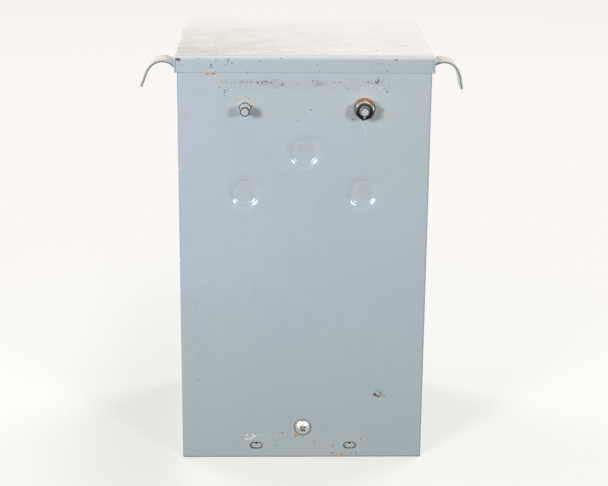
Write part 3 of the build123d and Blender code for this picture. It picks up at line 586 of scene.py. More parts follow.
def caseMaterial():
    material, place = startMaterial("caseEnamel")
    x, y, z = split(place)
    places = casePlaces
    wall = y.rise(*places["wallRun"])
    ragged = shaken(place, 1.6, 0.5)
    colour = caseWall(enamelColour(place), place, wall)
    for dimple in places["dimples"]:
        colour = caseDimple(colour, place, ragged, wall, *dimple)
    colour = caseRims(colour, place, ragged, wall)
    # chips to the primer, dark specks, stains and rust
    fleck = mottled(place, 1.5, 0.36, 0.5)
    chips = wallSpots(ragged, caseWear["paleChips"], 0.3) * wall * fleck
    chips = chips.most(wallLines(ragged, caseWear["scratches"], 0.4) * wall * fleck * 0.32)
    stains = wallSpots(ragged, caseWear["stains"], 0.5) * wall * mottled(place, 2.2, 0.3, 0.56)
    stains = stains * (z.rise(40, 20) * -0.35 + 1)
    specks = wallSpots(ragged, caseWear["darkSpecks"], 0.4) * wall
    layers = {"primer": chips, "darkSpecks": specks, "stains": stains}
    colour = laid(colour, caseLayers, layers)
    rusted = wallSpots(ragged, caseWear["rustSpots"], 0.35) * wall
    colour = blendColour(rusted * places["rusting"], colour, rustColour(place))
    chip = wallSpots(ragged, caseWear["purpleChip"], 0.4) * wall
    colour = laid(colour, caseLayers, {"purpleChip": chip})
    # the gouge low on the right, down to bare and rusting steel
    dented = 0.0
    for *spot, tint, strength in caseWear["gouge"]:
        hurt = wallSpots(ragged, [spot], 0.35) * wall * strength
        colour = blendColour(hurt, colour, tint)
        dented = hurt + dented
    # a painted shadow along the foot, then dust and rubbed lines on the two sides
    side = 1 - wall
    knock = mottled(place, (3.2, 3.2, 2.4), 0.74, 0.79) * side
    colour = laid(colour, caseLayers, {
        "foot": z.rise(*places["footShadowRun"]),
        "sideFilm": mottled(place, (20, 26, 70), 0.5, 0.74, 4) * side,
        "sideRubs": mottled(place, (1.0, 1.2, 36), 0.69, 0.75, 2, 0.4) * side,
        "sideKnocks": knock,
    })
    height = dented * places["gougeDepth"] - rusted * places["rustDepth"]
    height = height - chips * places["chipDepth"] - knock * places["knockDepth"]
    dulled = (rusted + dented + stains * 0.5 + chips * 0.6).least(1.0)
    return finishMaterial(material, enamelSockets(place, colour, height, dulled))


# Sides that the photograph doesn't show, and the pan: lightly dusty and rubbed
plainLayers = {
    "dust": (192, 194, 188, 0.25),
    "scratch": (132, 140, 144, 0.3),
    "shownPan": (184, 191, 189, 1),
    "panDust": (196, 192, 178, 0.3),
}


def plainEnamelMaterial(name):
    material, place = startMaterial(name)
    x, y, z = split(place)
    # darker and greener towards the bottom
    colour = blendColour(z.rise(220, 0) * 0.4, enamelColour(place), enamel["grimeAndShade"])
    dust = mottled(place, (26, 26, 70), 0.5, 0.75, 4)
    scratch = mottled(place, (1.0, 1.0, 34), 0.7, 0.76, 2, 0.4)
    colour = laid(colour, plainLayers, {"dust": dust, "scratch": scratch})
    return finishMaterial(material, enamelSockets(place, colour, scratch * -0.3, dust * 0.3))


def panMaterial():
    # the pan's upturned edge is cleaner where it shows through the slots
    material, place = startMaterial("basePanEnamel")
    x, y, z = split(place)
    shown = y.rise(wallFace + 7, wallFace + 4) * z.rise(3, 6)
    dust = mottled(place, 18, 0.45, 0.7, 4) * (1 - shown)
    colour = laid(enamelColour(place), plainLayers, {"shownPan": shown, "panDust": dust})
    return finishMaterial(material, enamelSockets(place, colour, None, dust * 0.4))


# Marks on the lid: (x, z, half width, half height) on its flange, and (x, y, half width,
# half depth) on its top
lidWear = {
    "tan": [(83.2, 399.3, 2.6, 1.2)],
    "chips": [(-117.4, 399.2, 1.3, 1.5), (-115.4, 399.0, 1.4, 1.4)],
    "specks": [
        (-70.2, 399.1, 0.8, 1.0), (-70.6, 397.0, 0.5, 0.9), (-67.1, 395.6, 0.8, 0.7),
        (-73.1, 394.1, 0.6, 0.6), (-86.2, 394.0, 0.9, 1.3), (-87.4, 391.7, 0.8, 0.8),
        (-85.2, 392.2, 0.5, 1.1), (-82.2, 387.8, 0.5, 0.5), (-41.7, 398.0, 0.9, 0.6),
        (-21.9, 400.4, 0.7, 0.5), (-52.6, 387.5, 0.8, 0.5), (-81.4, 397.9, 0.5, 0.7),
        (-97.9, 400.0, 0.7, 0.4), (-113.1, 393.6, 0.5, 0.5), (84.1, 399.1, 1.4, 0.8),
        (69.8, 395.8, 0.6, 0.4), (67.3, 395.2, 0.5, 0.4), (75.8, 388.7, 0.8, 0.5),
        (11.5, 394.5, 0.5, 0.5), (13.2, 389.4, 0.4, 0.5), (62.3, 393.3, 0.5, 0.4),
    ],
    "topSpecks": [
        (-84.4, -98.9, 1.3, 1.0), (-88.6, -99.6, 0.8, 0.7), (-80.5, -95.3, 0.8, 1.1),
        (-75.9, -91.1, 1.0, 1.0), (-102.0, -101.0, 0.6, 0.8), (68.0, -72.9, 0.9, 1.3),
        (101.4, -95.5, 0.6, 0.8),
    ],
    "smears": [
        (18.0, -89.5, 4.2, 1.1), (25.7, -49.9, 9.0, 1.4), (43.2, -41.4, 6.0, 1.1),
        (95.6, -45.8, 5.0, 1.3), (64.0, -12.0, 7.0, 1.2),
    ],
    "clouds": [
        (-108, -92, 14, 9), (-105, -66, 12, 10), (-50, -65, 16, 8), (-36, -54, 10, 6),
        (-84, -84, 16, 9), (-61, 36, 14, 9),
    ],
}
# What lies or shows on the lid: red, green, blue and how strongly it covers
lidLayers = {
    # painted highlight on the bends
    "bend": (206, 217, 220, 0.6),
    "dust": (238, 234, 230, 1),
    "drift": (216, 212, 203, 0.36),
    "clouds": (172, 172, 158, 0.4),
    "grit": (128, 112, 92, 0.74),
    "pepper": (92, 76, 66, 0.7),
    "film": (196, 196, 182, 0.7),
    "beige": (230, 223, 205, 0.6),
    "crumbs": (128, 112, 92, 0.35),
    "line": (150, 156, 156, 0.7),
    "smears": (140, 136, 130, 0.5),
    "blots": (96, 78, 72, 0.8),
    "flecks": (112, 110, 124, 0.45),
    "specks": (84, 76, 92, 0.8),
    "tan": (186, 160, 130, 0.25),
    "chips": (96, 34, 28, 0.95),
}
# The runs on the lid from where each tint starts to its full strength
lidRuns = {
    "ahead": (-96, -102),
    "flat": (lidTop - 0.16, lidTop - 0.03),
    "frontRim": (-103.6, -102.4),
    "sideBends": (lidTop - 2.6, lidTop - 1.2),
    "flange": (lidFront + 3, lidFront + 1.5),
    "grimeAndShade": (-120, 120),
    "bend": (lidTop - 4.2, lidTop - 1.6),
    "drift": (110, -60),
    "beige": (-88, -101),
    "gritAcross": (40, -110),
    "gritAlong": (-10, -100),
    "pepperAcross": (-30, -105),
    "pepperAlong": (-70, -98),
    "filmAcross": (70, -110),
    "filmAlong": (105, -40),
    "line": [(-103.8, -103.2), (-101.6, -102.4), (lidTop - 0.2, lidTop)],
    "flecks": (-40, -100),
    "chips": (-90, -100),
}


def lidTopDust(colour, place, top):
    x, y, z = split(place)
    clouds = topSpots(shaken(place, 9, 6), lidWear["clouds"], 0.6)
    film = mottled(place, 24, 0.36, 0.66, 4) * 0.6 + noise(place, 1.7) * 0.5
    runs = lidRuns
    front = y.rise(*runs["beige"])
    smears = topSpots(shaken(place, 6, 1.6), lidWear["smears"], 0.6) * top
    pepper = x.rise(*runs["pepperAcross"]) * y.rise(*runs["pepperAlong"]) * top
    grit = x.rise(*runs["gritAcross"]) * y.rise(*runs["gritAlong"]) * top
    drift = mottled(place, (17, 11, 9), 0.5, 0.72, 4, 0.62) * top
    before, behind, under = runs["line"]
    # grit lies towards the front left corner, beige dust thickest along the front edge
    return laid(colour, lidLayers, {
        "dust": top * (mottled(place, (60, 34, 30), 0.2, 0.5, 5) * 0.14 + 0.86),
        "drift": drift * y.rise(*runs["drift"]),
        "clouds": clouds * mottled(place, (2.6, 2.0, 2), 0.4, 0.66) * top,
        "grit": grit * mottled(place, 1.9, 0.52, 0.66),
        "pepper": pepper * mottled(place, 1.1, 0.66, 0.72, 2, 0.5),
        "film": film * x.rise(*runs["filmAcross"]) * top * y.rise(*runs["filmAlong"]),
        "beige": front * top,
        "crumbs": mottled(place, (4, 2, 2), 0.56, 0.68, 3, 0.65) * front * top,
        "line": y.rise(*before) * y.rise(*behind) * z.rise(*under),
        "smears": smears * mottled(place, (5, 1.5, 1.5), 0.42, 0.56),
        "blots": topSpots(shaken(place, 1.4, 0.4), lidWear["topSpecks"], 0.4) * top,
    })


def lidMaterial():
    material, place = startMaterial("lidEnamel")
    x, y, z = split(place)
    # dust runs over the bends at the sides and back, and stops short of the front one
    runs = lidRuns
    ahead = y.rise(*runs["ahead"])
    top = z.rise(*runs["flat"]) * y.rise(*runs["frontRim"]) * ahead
    top = top.most(z.rise(*runs["sideBends"]) * (1 - ahead))
    flange = y.rise(*runs["flange"]) * (1 - top)
    ragged = shaken(place, 1.4, 0.4)
    # the flange is greyer, and darker towards the right as painted shade
    grimeAndShade = flange * (x.rise(*runs["grimeAndShade"]) * 0.36 + 0.1)
    colour = blendColour(grimeAndShade, enamelColour(place), enamel["grimeAndShade"])
    # a painted highlight along the bends, below the dusty top
    bend = z.rise(*runs["bend"]) * (1 - top)
    colour = lidTopDust(laid(colour, lidLayers, {"bend": bend}), place, top)
    flecks = mottled(place, 1.2, 0.64, 0.71, 2, 0.45) * (x.rise(*runs["flecks"]) * 0.7 + 0.3)
    specks = wallSpots(ragged, lidWear["specks"], 0.4) * flange
    chips = wallSpots(ragged, lidWear["chips"], 0.35) * y.rise(*runs["chips"]) * (1 - top)
    colour = laid(colour, lidLayers, {
        "flecks": flecks * flange,
        "specks": specks,
        "tan": wallSpots(ragged, lidWear["tan"], 0.5) * flange,
        "chips": chips,
    })
    height = top * noise(place, 1.6) * 0.5 - specks - chips
    return finishMaterial(material, enamelSockets(place, colour, height, top))


# How each hook bends, seen from the front and with the left one mirrored: where its crown
# starts (x, z), its lean from upright there, then the radius and turn of each arc; the
# straight tips are arcs so wide that they are as good as straight
hookBends = {
    1: ((120.63, 393.76), 55, [(14.55, 101), (40, 14), (2000, 1)]),
    -1: ((120.05, 391.2), 40, [(14.65, 97), (25, 23), (2000, 1)]),
}
hookThickness = 2.3
hookLayers = {
    "front": (184, 192, 196, 0.5),
    # painted shade along the inner edge of the front
    "innerEdgeShade": (88, 97, 101, 0.9),
    "dust": (228, 226, 216, 1),
    # painted light on the underside, which lies in shade
    "undersideLight": (240, 240, 238, 0.8),
    "stain": (210, 174, 124, 1),
    "speck": (150, 140, 126, 0.3),
    "frontSpecks": (84, 88, 92, 0.5),
}


def hookDepth(place, side):
    # how far a point of a hook's front edge lies outside the inner side of the bend
    (startX, startZ), lean, arcs = hookBends[side]
    place = vectorOf("MULTIPLY", place, (side, 1, 1))
    x, y, z = split(place)
    depth = None
    for radius, turn in arcs:
        alongX, alongZ = math.sin(math.radians(lean)), math.cos(math.radians(lean))
        middleX, middleZ = startX + radius * alongZ, startZ - radius * alongX
        reach = fromAxis(place, middleX, middleZ) - (radius - hookThickness / 2)
        if depth is None:
            depth = reach
        else:
            ahead = ((x - startX) * alongX + (z - startZ) * alongZ).rise(-0.02, 0.02)
            depth = depth + (reach - depth) * ahead
        lean += turn
        startX = middleX - radius * math.cos(math.radians(lean))
        startZ = middleZ + radius * math.sin(math.radians(lean))
    return depth


def hookMaterial():
    # bent flat bar: dusty where it faces up, with painted light on its upright outer faces and its
    # underside and painted shade along the inner edge of its front, stained near the lid
    material, place = startMaterial("hookEnamel")
    x, y, z = split(place)
    above = facing("Z")
    front = facing("Y").rise(-0.6, -0.95)
    behind = 1 - front
    depth = hookDepth(place, 1)
    depth = depth + (hookDepth(place, -1) - depth) * x.rise(1, -1)
    cover = mottled(place, (7, 9, 7), 0.25, 0.55, 4) * 0.5 + 0.5
    # dust where it faces up; on the upright faces it is painted light
    dustAndSideLight = (above.rise(-0.2, 0.35) * cover).most(abs(facing("X")).rise(0.5, 0.9) * 0.3)
    foot = z.rise(lidTop + 12, lidTop + 2) * (x.rise(-20, 20) * 0.4 + 0.3)
    speck = mottled(place, 2.2, 0.6, 0.68)
    colour = laid(enamelColour(place), hookLayers, {
        "front": front,
        "innerEdgeShade": depth.rise(1.6, 0.7) * front,
        "dust": dustAndSideLight * behind,
        "undersideLight": above.rise(0.1, -0.1) * behind,
        "stain": mottled(place, 3.6, 0.46, 0.62, 4, 0.65) * foot * behind,
        "speck": speck,
        "frontSpecks": mottled(place, 1.4, 0.6, 0.66) * front,
    })
    return finishMaterial(material, enamelSockets(place, colour, speck * -1, dustAndSideLight * 0.8))


def metalMaterial(name, colour, shade, roughness):
    # drawn along x, with fine streaks
    material, place = startMaterial(name)
    streak = noise(place, (0.6, 14, 14), 3, 0.55)
    cloud = noise(place, 5)
    mixed = blendColour((streak * 0.6 + cloud * 0.4).rise(0.35, 0.65), shade, colour)
    return finishMaterial(material, {
        "Base Color": mixed,
        "Roughness": roughness + (cloud - 0.5) * 0.2,
        "Metallic": 1.0,
        "Normal": bumped(streak, 0.02),
    })


# Zinc plate of the studs, the nut, the washers and the ground screw, with its tarnish and rust, and
# painted shade and sheen
zinc = {
    "bright": srgb(222, 222, 216),
    "dull": srgb(176, 176, 170),
    "tarnish": (140, 132, 116, 0.4),
    "roughness": 0.34,
}
nutLayers = {
    "face": (20, 21, 26, 0.95),
    # painted shade on the nut's lower sides
    "sides": (20, 21, 26, 0.85),
    "rubbed": (58, 32, 28, 0.4),
    # painted sheen on the upper part of the face
    "sheen": (96, 104, 106, 0.3),
    "crest": (160, 150, 132, 0.08),
    "wedge": (176, 184, 188, 0.7),
}
nutPlaces = {"face": (8.05, 7.75), "rubbed": (5.9, 5.2), "wedgeTip": 7.4, "wedgeSlant": 0.62}


def zincColour(place):
    # the plate's colour, and the cloud that its roughness and relief follow
    cloud = noise(place, 3.0, 4)
    colour = blendColour(cloud.rise(0.35, 0.65), zinc["dull"], zinc["bright"])
    return laid(colour, zinc, {"tarnish": mottled(place, 1.6, 0.56, 0.7)}), cloud


def nutMaterial():
    material, place = startMaterial("blackFacedNut")
    x, y, z = split(place)
    places = nutPlaces
    colour, cloud = zincColour(place)
    away = fromAxis(place, nutX, studZ)
    face = facing("Y").rise(-0.93, -0.98) * away.rise(*places["face"])
    # a pale wedge of bare metal shows under the stud
    wedge = (z - (studZ - places["wedgeTip"])) * places["wedgeSlant"] - abs(x - nutX)
    wedge = wedge.rise(-0.2, 0.4) * z.rise(studZ - 4.4, studZ - 5.2)
    # the sides and corners are painted as dark as the face, a painted shade, but for their upper
    # part; the upper part of the face gets a painted sheen
    colour = laid(colour, nutLayers, {
        "face": face,
        "rubbed": away.rise(*places["rubbed"]) * face,
        "sheen": z.rise(studZ + 2, studZ + 8) * face,
        "sides": z.rise(studZ + 2.5, studZ - 2),
        "crest": mottled(place, 1.3, 0.58, 0.7),
        "wedge": wedge * face,
    })
    return finishMaterial(material, {
        "Base Color": colour,
        "Roughness": zinc["roughness"] + cloud * 0.2,
        "Metallic": 1.0,
        "Normal": bumped(cloud, 0.06),
    })


# The ground screw; the painted shade in its recess is (x, z, half width, half height, colour), with
# x and z from its axis
screwLayers = {
    "recess": (160, 164, 158, 0.5),
    "recessShade": 0.9,
    "below": (206, 208, 184, 0.3),
    # painted shadow round the rim of the head
    "rim": (104, 108, 104, 0.7),
}
screwRecessShade = [
    (-1.7, 1.5, 1.0, 0.9, srgb(44, 52, 54)),
    (2.6, 0.8, 1.0, 0.9, srgb(80, 88, 88)),
    (-2.4, -0.5, 0.5, 1.1, srgb(92, 100, 90)),
    (-0.7, -2.4, 1.1, 1.2, srgb(80, 86, 68)),
    (1.8, -2.7, 1.2, 1.0, srgb(30, 34, 26)),
]


def screwMaterial():
    material, place = startMaterial("trussHeadZinc")
    x, y, z = split(place)
    colour, cloud = zincColour(place)
    away = fromAxis(place, screwX, screwZ)
    across = abs(x - screwX).least(abs(z - screwZ))
    cross = across.rise(1.35, 0.95) * away.rise(4.6, 3.6) * y.rise(wallFace - 2.2, wallFace - 1.4)
    colour = laid(colour, screwLayers, {"recess": cross})
    # dark specks painted in the recess as its shade
    for speckX, speckZ, width, height, tint in screwRecessShade:
        speck = wallSpots(place, [(screwX + speckX, screwZ + speckZ, width, height)], 0.35)
        colour = blendColour(speck * screwLayers["recessShade"], colour, tint)
        cross = cross.most(speck)
    # paler below, and a painted shadow round the rim of the head
    below = z.rise(screwZ - 2, screwZ - 6)
    colour = laid(colour, screwLayers, {"below": below, "rim": away.rise(6.7, 7.3)})
    return finishMaterial(material, {
        "Base Color": colour,
        "Roughness": 0.3 + cloud * 0.15 + cross * 0.4,
        "Metallic": 1 - cross * 0.9,
        "Normal": bumped(cloud, 0.05),
    })


# The washers under the nut are rusted on the part of the rim that faces up; their lower part is
# painted shadow grey, and next to the nut they are darkened by rust and painted shade
washerLayers = {
    # painted shadow on the lower part; rust and painted shade next to the nut
    "lower": (84, 91, 92, 0.94),
    "orange": (206, 122, 34, 0.45),
    "underNutRustAndShade": (72, 52, 34, 0.6),
}


def washerMaterial():
    material, place = startMaterial("rustyWashers")
    x, y, z = split(place)
    colour, cloud = zincColour(place)
    upper = z.rise(studZ + 2, studZ + 6)
    lower = z.rise(studZ + 6, studZ + 3)
    colour = laid(colour, washerLayers, {"lower": lower})
    eaten = (mottled(place, 2.2, 0.25, 0.5, 4, 0.65) * upper).most(facing("Z").rise(0.2, 0.7))
    rusty = laid(rustColour(place), washerLayers, {"orange": 1})
    colour = blendColour(eaten * 0.95, colour, rusty)
    # rust and painted shade next to the nut
    shaded = fromAxis(place, nutX, studZ).rise(10.2, 8.6) * mottled(place, 3, 0.3, 0.55)
    colour = laid(colour, washerLayers, {"underNutRustAndShade": shaded * upper})
    return finishMaterial(material, {
        "Base Color": colour,
        "Roughness": 0.36 + eaten * 0.44,
        "Metallic": 1 - eaten.most(lower) * 0.95,
        "Normal": bumped(cloud, 0.1),
    })


def boardMaterial(name, colour, shade, grain, roughness, depth=0.05):
    material, place = startMaterial(name)
    fibre = noise(place, grain, 4)
    mixed = blendColour(fibre.rise(0.35, 0.68), shade, colour)
    return finishMaterial(material, {
        "Base Color": mixed,
        "Roughness": roughness + (fibre - 0.5) * 0.1,
        "Normal": bumped(fibre, depth),
    })


# Core: varnished sheets, stacked along y
core = {
    "sheet": 0.5,
    "dark": srgb(74, 76, 82),
    "light": srgb(104, 104, 108),
    "gap": (40, 38, 36, 0.4),
}


def laminationMaterial():
    material, place = startMaterial("varnishedLaminations")
    x, y, z = split(place)
    wave = Link.maths("SINE", y * (2 * math.pi / core["sheet"]))
    cloud = noise(place, 22, 4)
    colour = blendColour(cloud.rise(0.35, 0.7), core["dark"], core["light"])
    colour = laid(colour, core, {"gap": wave.rise(0.2, 1.0)})
    return finishMaterial(material, {
        "Base Color": colour,
        "Roughness": 0.4 + cloud * 0.2,
        "Metallic": 0.6,
        "Normal": bumped(wave, 0.1),
    })


# The finish of each slot; a plain one has its colour, a darker shade, for boards the size of
# the grain, and the roughness
finishes = {
    "body_paint": caseMaterial(),
    "lid_paint": lidMaterial(),
    "cover_paint": plainEnamelMaterial("coverEnamel"),
    "pan_paint": plainEnamelMaterial("panEnamel"),
    "hook_paint": hookMaterial(),
    "zinc_steel": metalMaterial("zincPlate", srgb(214, 214, 210), srgb(168, 170, 168), 0.32),
    "rusty_zinc": washerMaterial(),
    "plain_steel": boardMaterial("primedSteel", srgb(122, 124, 126), srgb(96, 98, 100), 9, 0.55),
    "core_steel": laminationMaterial(),
    "winding_copper": metalMaterial("enamelledCopper", srgb(186, 104, 62), srgb(142, 70, 38), 0.38),
    "former_board": boardMaterial("pressedBoard", srgb(178, 152, 108), srgb(150, 124, 84), 3, 0.8),
    "insulation_paper": boardMaterial(
        "insulationPaper", srgb(206, 186, 142), srgb(180, 156, 110), (30, 30, 1.5), 0.75),
    "terminal_laminate": boardMaterial(
        "phenolicLaminate", srgb(96, 58, 36), srgb(70, 38, 22), (20, 4, 4), 0.45),
    "terminal_brass": metalMaterial("turnedBrass", srgb(204, 170, 98), srgb(160, 126, 64), 0.3),
    "lug_alloy": metalMaterial("tinnedLug", srgb(206, 208, 210), srgb(160, 162, 166), 0.35),
    "compound": boardMaterial("pottingResin", srgb(58, 54, 50), srgb(38, 36, 34), 1.6, 0.7, 0.2),
}
ownFinishes = {
    "base_pan": panMaterial(),
    "stud_nut": nutMaterial(),
    "ground_screw": screwMaterial(),
    "front_panel": plainEnamelMaterial("panelEnamel"),
}
print("materials made:", len(finishes) + len(ownFinishes))

# The two studs are bolts through the wall: real threads stand for the plain CAD shanks
studSizes = {
    "crest": 4.69,
    "root": 3.9,
    "pitch": 1.5875,
    "crestFlat": 0.2,
    "rise": 0.6,
    "neck": 4.9,
    "neckReach": 0.4,
    "neckBevel": 0.15,
    "neckSides": 48,
    "headFlats": 14.3,
    "headDepth": 6.0,
    "headBevel": 0.6,
    "tipChamfer": 0.9,
    "overlap": 0.5,
    "threadBefore": 1,
    "threadBehind": 2.6,
    "blankSpare": 0.02,
    "blankSides": 64,
    "steps": 40,
    "weld": 0.01,
    "smoothUnder": 28,
}
studLayers = {
    "thread": (150, 164, 172, 0.45),
    # painted shade in the thread roots and near the wall
    "rootShade": (78, 74, 74, 0.8),
    "wallEndShade": (110, 108, 122, 0.5),
    "rim": (58, 32, 28, 0.9),
    "end": (186, 192, 196),
    "capCloud": (168, 170, 168, 0.4),
}


def deselectAll():
    bpy.ops.object.select_all(action="DESELECT")


def activate(pieces):
    # selects the pieces, with the last one active
    deselectAll()
    for piece in pieces:
        piece.select_set(True)
    bpy.context.view_layer.objects.active = pieces[-1]


def tubeAlongY(radius, start, finish, sides):
    # a cylinder on the y axis, from start to finish in millimetres
    deselectAll()
    bpy.ops.mesh.primitive_cylinder_add(
        vertices=sides,
        radius=radius * mm,
        depth=(finish - start) * mm,
        location=(0, (start + finish) / 2 * mm, 0),
        rotation=(math.pi / 2, 0, 0),
    )
    bpy.ops.object.transform_apply(location=True, rotation=True, scale=True)
    return bpy.context.object


def bevelEnd(piece, level, width):
    # cuts the corner off the rim of the face that looks along y at this level
    activate([piece])
    bpy.ops.object.mode_set(mode="EDIT")
    bpy.ops.mesh.select_all(action="DESELECT")
    shape = bmesh.from_edit_mesh(piece.data)
    for face in shape.faces:
        flat = abs(face.normal.y) > 0.99
        face.select_set(flat and abs(face.calc_center_median().y / mm - level) < 0.01)
    bmesh.update_edit_mesh(piece.data)
    bpy.ops.mesh.bevel(offset=width * mm, segments=1, affect="EDGES")
    bpy.ops.object.mode_set(mode="OBJECT")


def threadAlongY(start, finish):
    # one pitch of the profile, drawn point by point, then screwed along the axis
    sizes = studSizes
    deselectAll()
    bpy.ops.mesh.primitive_plane_add(size=mm, location=(0, 0, 0))
    thread = bpy.context.object
    bpy.ops.object.mode_set(mode="EDIT")
    bpy.ops.mesh.select_all(action="SELECT")
    bpy.ops.mesh.merge(type="CENTER")
    bpy.ops.transform.translate(value=(sizes["root"] * mm, finish * mm, 0))
    depth = sizes["crest"] - sizes["root"]
    rootFlat = sizes["pitch"] - 2 * sizes["rise"] - sizes["crestFlat"]
    steps = [
        (depth, -sizes["rise"]),
        (0, -sizes["crestFlat"]),
        (-depth, -sizes["rise"]),
        (0, -rootFlat),
    ]
    for outward, along in steps:
        move = {"value": (outward * mm, along * mm, 0)}
        bpy.ops.mesh.extrude_region_move(TRANSFORM_OT_translate=move)
    bpy.ops.object.mode_set(mode="OBJECT")
    turns = thread.modifiers.new("turns", "SCREW")
    turns.axis = "Y"
    turns.screw_offset = -sizes["pitch"] * mm
    turns.iterations = math.ceil((finish - start) / sizes["pitch"]) + 1
    turns.steps = sizes["steps"]
    turns.render_steps = sizes["steps"]
    bpy.ops.object.modifier_apply(modifier="turns")
    bpy.ops.object.mode_set(mode="EDIT")
    bpy.ops.mesh.select_all(action="SELECT")
    bpy.ops.mesh.remove_doubles(threshold=sizes["weld"] * mm)
    for level, outer in ((finish - sizes["pitch"], True), (start, False)):
        bpy.ops.mesh.select_all(action="SELECT")
        bpy.ops.mesh.bisect(
            plane_co=(0, level * mm, 0),
            plane_no=(0, 1, 0),
            use_fill=True,
            clear_outer=outer,
            clear_inner=not outer,
        )
    bpy.ops.mesh.select_all(action="SELECT")
    bpy.ops.mesh.normals_make_consistent(inside=False)
    bpy.ops.object.mode_set(mode="OBJECT")
    return thread


def trimmedThread(neckEnd):
    # a blank trims the thread to length and cuts the corner off its end
    sizes = studSizes
    thread = threadAlongY(studTip - sizes["threadBefore"], neckEnd + sizes["threadBehind"])
    radius = sizes["crest"] + sizes["blankSpare"]
    blank = tubeAlongY(radius, studTip, neckEnd + sizes["overlap"], sizes["blankSides"])
    bevelEnd(blank, studTip, sizes["tipChamfer"])
    trim = thread.modifiers.new("trim", "BOOLEAN")
    trim.operation = "INTERSECT"
    trim.object = blank
    activate([thread])
    bpy.ops.object.modifier_apply(modifier="trim")
    bpy.data.objects.remove(blank)
    return thread


def makeStuds():
    sizes = studSizes
    back = edgeOf("mounting_bolts", 1, "y")
    headStart = back - sizes["headDepth"]
    neckEnd = wallFace - sizes["neckReach"]
    cornerRadius = sizes["headFlats"] / 2 / math.cos(math.pi / 6)
    head = tubeAlongY(cornerRadius, headStart, back, 6)
    bevelEnd(head, back, sizes["headBevel"])
    neck = tubeAlongY(sizes["neck"], neckEnd, headStart + sizes["overlap"], sizes["neckSides"])
    bevelEnd(neck, neckEnd, sizes["neckBevel"])
    studs = trimmedThread(neckEnd)
    activate([head, neck, studs])
    bpy.ops.object.join()
    other = studs.copy()
    other.data = studs.data.copy()
    bpy.context.scene.collection.objects.link(other)
    studs.location = (nutX * mm, 0, studZ * mm)
    other.location = (-nutX * mm, 0, studZ * mm)
    other.select_set(True)
    bpy.ops.object.join()
    bpy.ops.object.transform_apply(location=True, rotation=True, scale=True)
    bpy.ops.object.shade_smooth_by_angle(angle=math.radians(sizes["smoothUnder"]))
    studs.name = "threadedStuds"
    studs.data.materials.clear()
    studs.data.materials.append(studMaterial())
    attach(studs, "root")
    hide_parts("mounting_bolts")


def studMaterial():
    # bright threads with painted shade in their roots and near the wall, and a pale sawn end with a
    # browned rim
    material, place = startMaterial("studThread")
    x, y, z = split(place)
    colour, cloud = zincColour(place)
    away = hypotenuse(abs(x) - nutX, z - studZ)
    rim = y.rise(studTip + 1.6, studTip + 1.2) * away.rise(3.3, 3.45)
    end = y.rise(studTip + 0.3, studTip + 0.1) * away.rise(3.45, 3.3)
    colour = laid(colour, studLayers, {
        "thread": 1,
        "rootShade": away.rise(4.5, 4.0) * y.rise(studTip + 0.4, studTip + 1.2),
        "wallEndShade": y.rise(wallFace - 3.5, wallFace - 0.5),
        "rim": rim,
    })
    cap = laid(srgb(*studLayers["end"]), studLayers, {"capCloud": mottled(place, 2.4, 0.3, 0.7)})
    colour = blendColour(end, colour, cap)
    plain = end.most(rim)
    return finishMaterial(material, {
        "Base Color": colour,
        "Roughness": zinc["roughness"] + cloud * 0.12 + plain * 0.3,
        "Metallic": 0.75 - plain * 0.75,
        "Normal": bumped(cloud, 0.04),
    })


makeStuds()
print("studs made")

for part in frame["record"]["subparts"]:
    finish = ownFinishes.get(part["node"], finishes[part["material_slot"]])
    for slot in frame["nodes"][part["node"]].material_slots:
        slot.material = finish


# Studio: pale floor and backdrop, soft boxes (place, width, power) in front, behind and overhead, a
# painted shadow on the floor by the case's left side, and the runs in which the floor's look
# changes with the distance
studio = {
    "backdrop": srgb(251, 247, 244),
    "floor": srgb(248, 248, 243),
    # painted shadow on the floor by the case's left side
    "floorShadowColour": srgb(235, 236, 231),
    "floorShadowStrength": 0.9,
    "floorShadowRuns": [(-90, -150), (-290, -170)],
    "distant": srgb(246, 242, 238),
    "bounced": srgb(66, 66, 65),
    "world": 0.02,
    "nearGlow": 0.58,
    "farGlow": 1.0,
    "farRun": (150, 800),
    "distantRun": (1400, 3200),
    "floorSize": 30000,
    "floorDrop": 0.1,
    "boxes": {
        "leftBox": ((-1080, -1600, 800), 440, 25.2),
        "rightBox": ((1080, -1600, 800), 400, 16.0),
        "topBox": ((0, 100, 2000), 1500, 12.9),
        "leftRearBox": ((-1500, 1250, 1100), 1000, 24),
        "rightRearBox": ((1500, 1250, 1100), 1000, 26),
    },
    "aim": (0, 0, 220),
}


def seenDirectly():
    rays = [
        Link.node("ShaderNodeLightPath", {}, {}, name)
        for name in ("Is Camera Ray", "Is Glossy Ray", "Is Transmission Ray")
    ]
    return rays[0].most(rays[1]).most(rays[2])


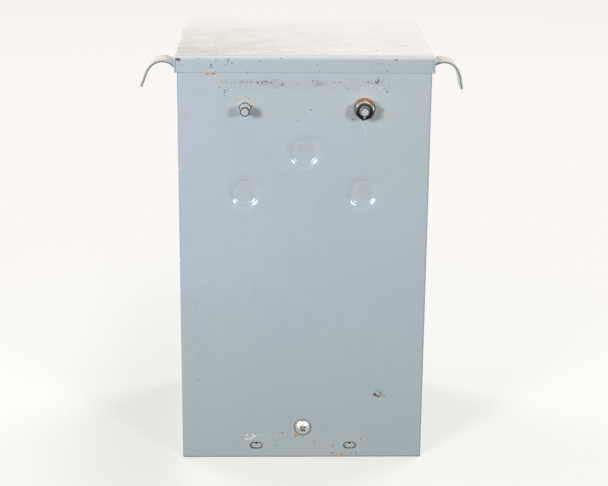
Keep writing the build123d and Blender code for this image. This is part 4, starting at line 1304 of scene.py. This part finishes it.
def paleBackground():
    world = bpy.data.worlds.new("studio")
    bpy.context.scene.world = world
    world.use_nodes = True
    Link.tree = world.node_tree
    Link.tree.nodes.clear()
    light = Link.node("ShaderNodeBackground", {}, {"Strength": studio["world"]})
    shown = Link.node("ShaderNodeBackground", {}, {"Color": studio["backdrop"], "Strength": 1.0})
    mixed = Link.node("ShaderNodeMixShader", {}, {0: seenDirectly(), 1: light, 2: shown})
    Link.node("ShaderNodeOutputWorld", {}, {"Surface": mixed})


def floorMaterial():
    # seen directly it glows like the backdrop; for other rays it is a dark floor
    material, place = startMaterial("paleFloor")
    x, y, z = split(place)
    away = lengthOf(place)
    far = away.rise(*studio["farRun"])
    # a painted shadow on the floor by the case's left side
    foot, edge = studio["floorShadowRuns"]
    floorShadow = x.rise(*foot) * x.rise(*edge) * (1 - far)
    ground = blendColour(floorShadow * studio["floorShadowStrength"], studio["floor"], studio["floorShadowColour"])
    glowing = studio["nearGlow"] + far * (studio["farGlow"] - studio["nearGlow"])
    shown = blendColour(far, ground, studio["backdrop"])
    shown = blendColour(away.rise(*studio["distantRun"]), shown, studio["distant"])
    diffuse = Link.node("ShaderNodeBsdfDiffuse", {}, {"Color": ground})
    glow = Link.node("ShaderNodeEmission", {}, {"Color": shown, "Strength": 1.0})
    lit = Link.node("ShaderNodeMixShader", {}, {0: glowing, 1: diffuse, 2: glow})
    bounced = Link.node("ShaderNodeBsdfDiffuse", {}, {"Color": studio["bounced"]})
    mixed = Link.node("ShaderNodeMixShader", {}, {0: seenDirectly(), 1: bounced, 2: lit})
    Link.node("ShaderNodeOutputMaterial", {}, {"Surface": mixed})
    return material


def addFloor():
    deselectAll()
    bpy.ops.mesh.primitive_plane_add(
        size=studio["floorSize"] * mm,
        location=(0, 0, -studio["floorDrop"] * mm),
    )
    floor = bpy.context.object
    floor.name = "floor"
    floor.data.materials.append(floorMaterial())


def addBoxes():
    for name, (place, width, power) in studio["boxes"].items():
        data = bpy.data.lights.new(name, "AREA")
        data.shape = "SQUARE"
        data.size = width * mm
        data.energy = power
        lamp = bpy.data.objects.new(name, data)
        bpy.context.scene.collection.objects.link(lamp)
        lamp.location = Vector(place) * mm
        aim = Vector(studio["aim"]) * mm - lamp.location
        lamp.rotation_euler = aim.to_track_quat("-Z", "Y").to_euler()


paleBackground()
addFloor()
addBoxes()
bpy.context.scene.view_settings.view_transform = "Standard"
print("studio made")
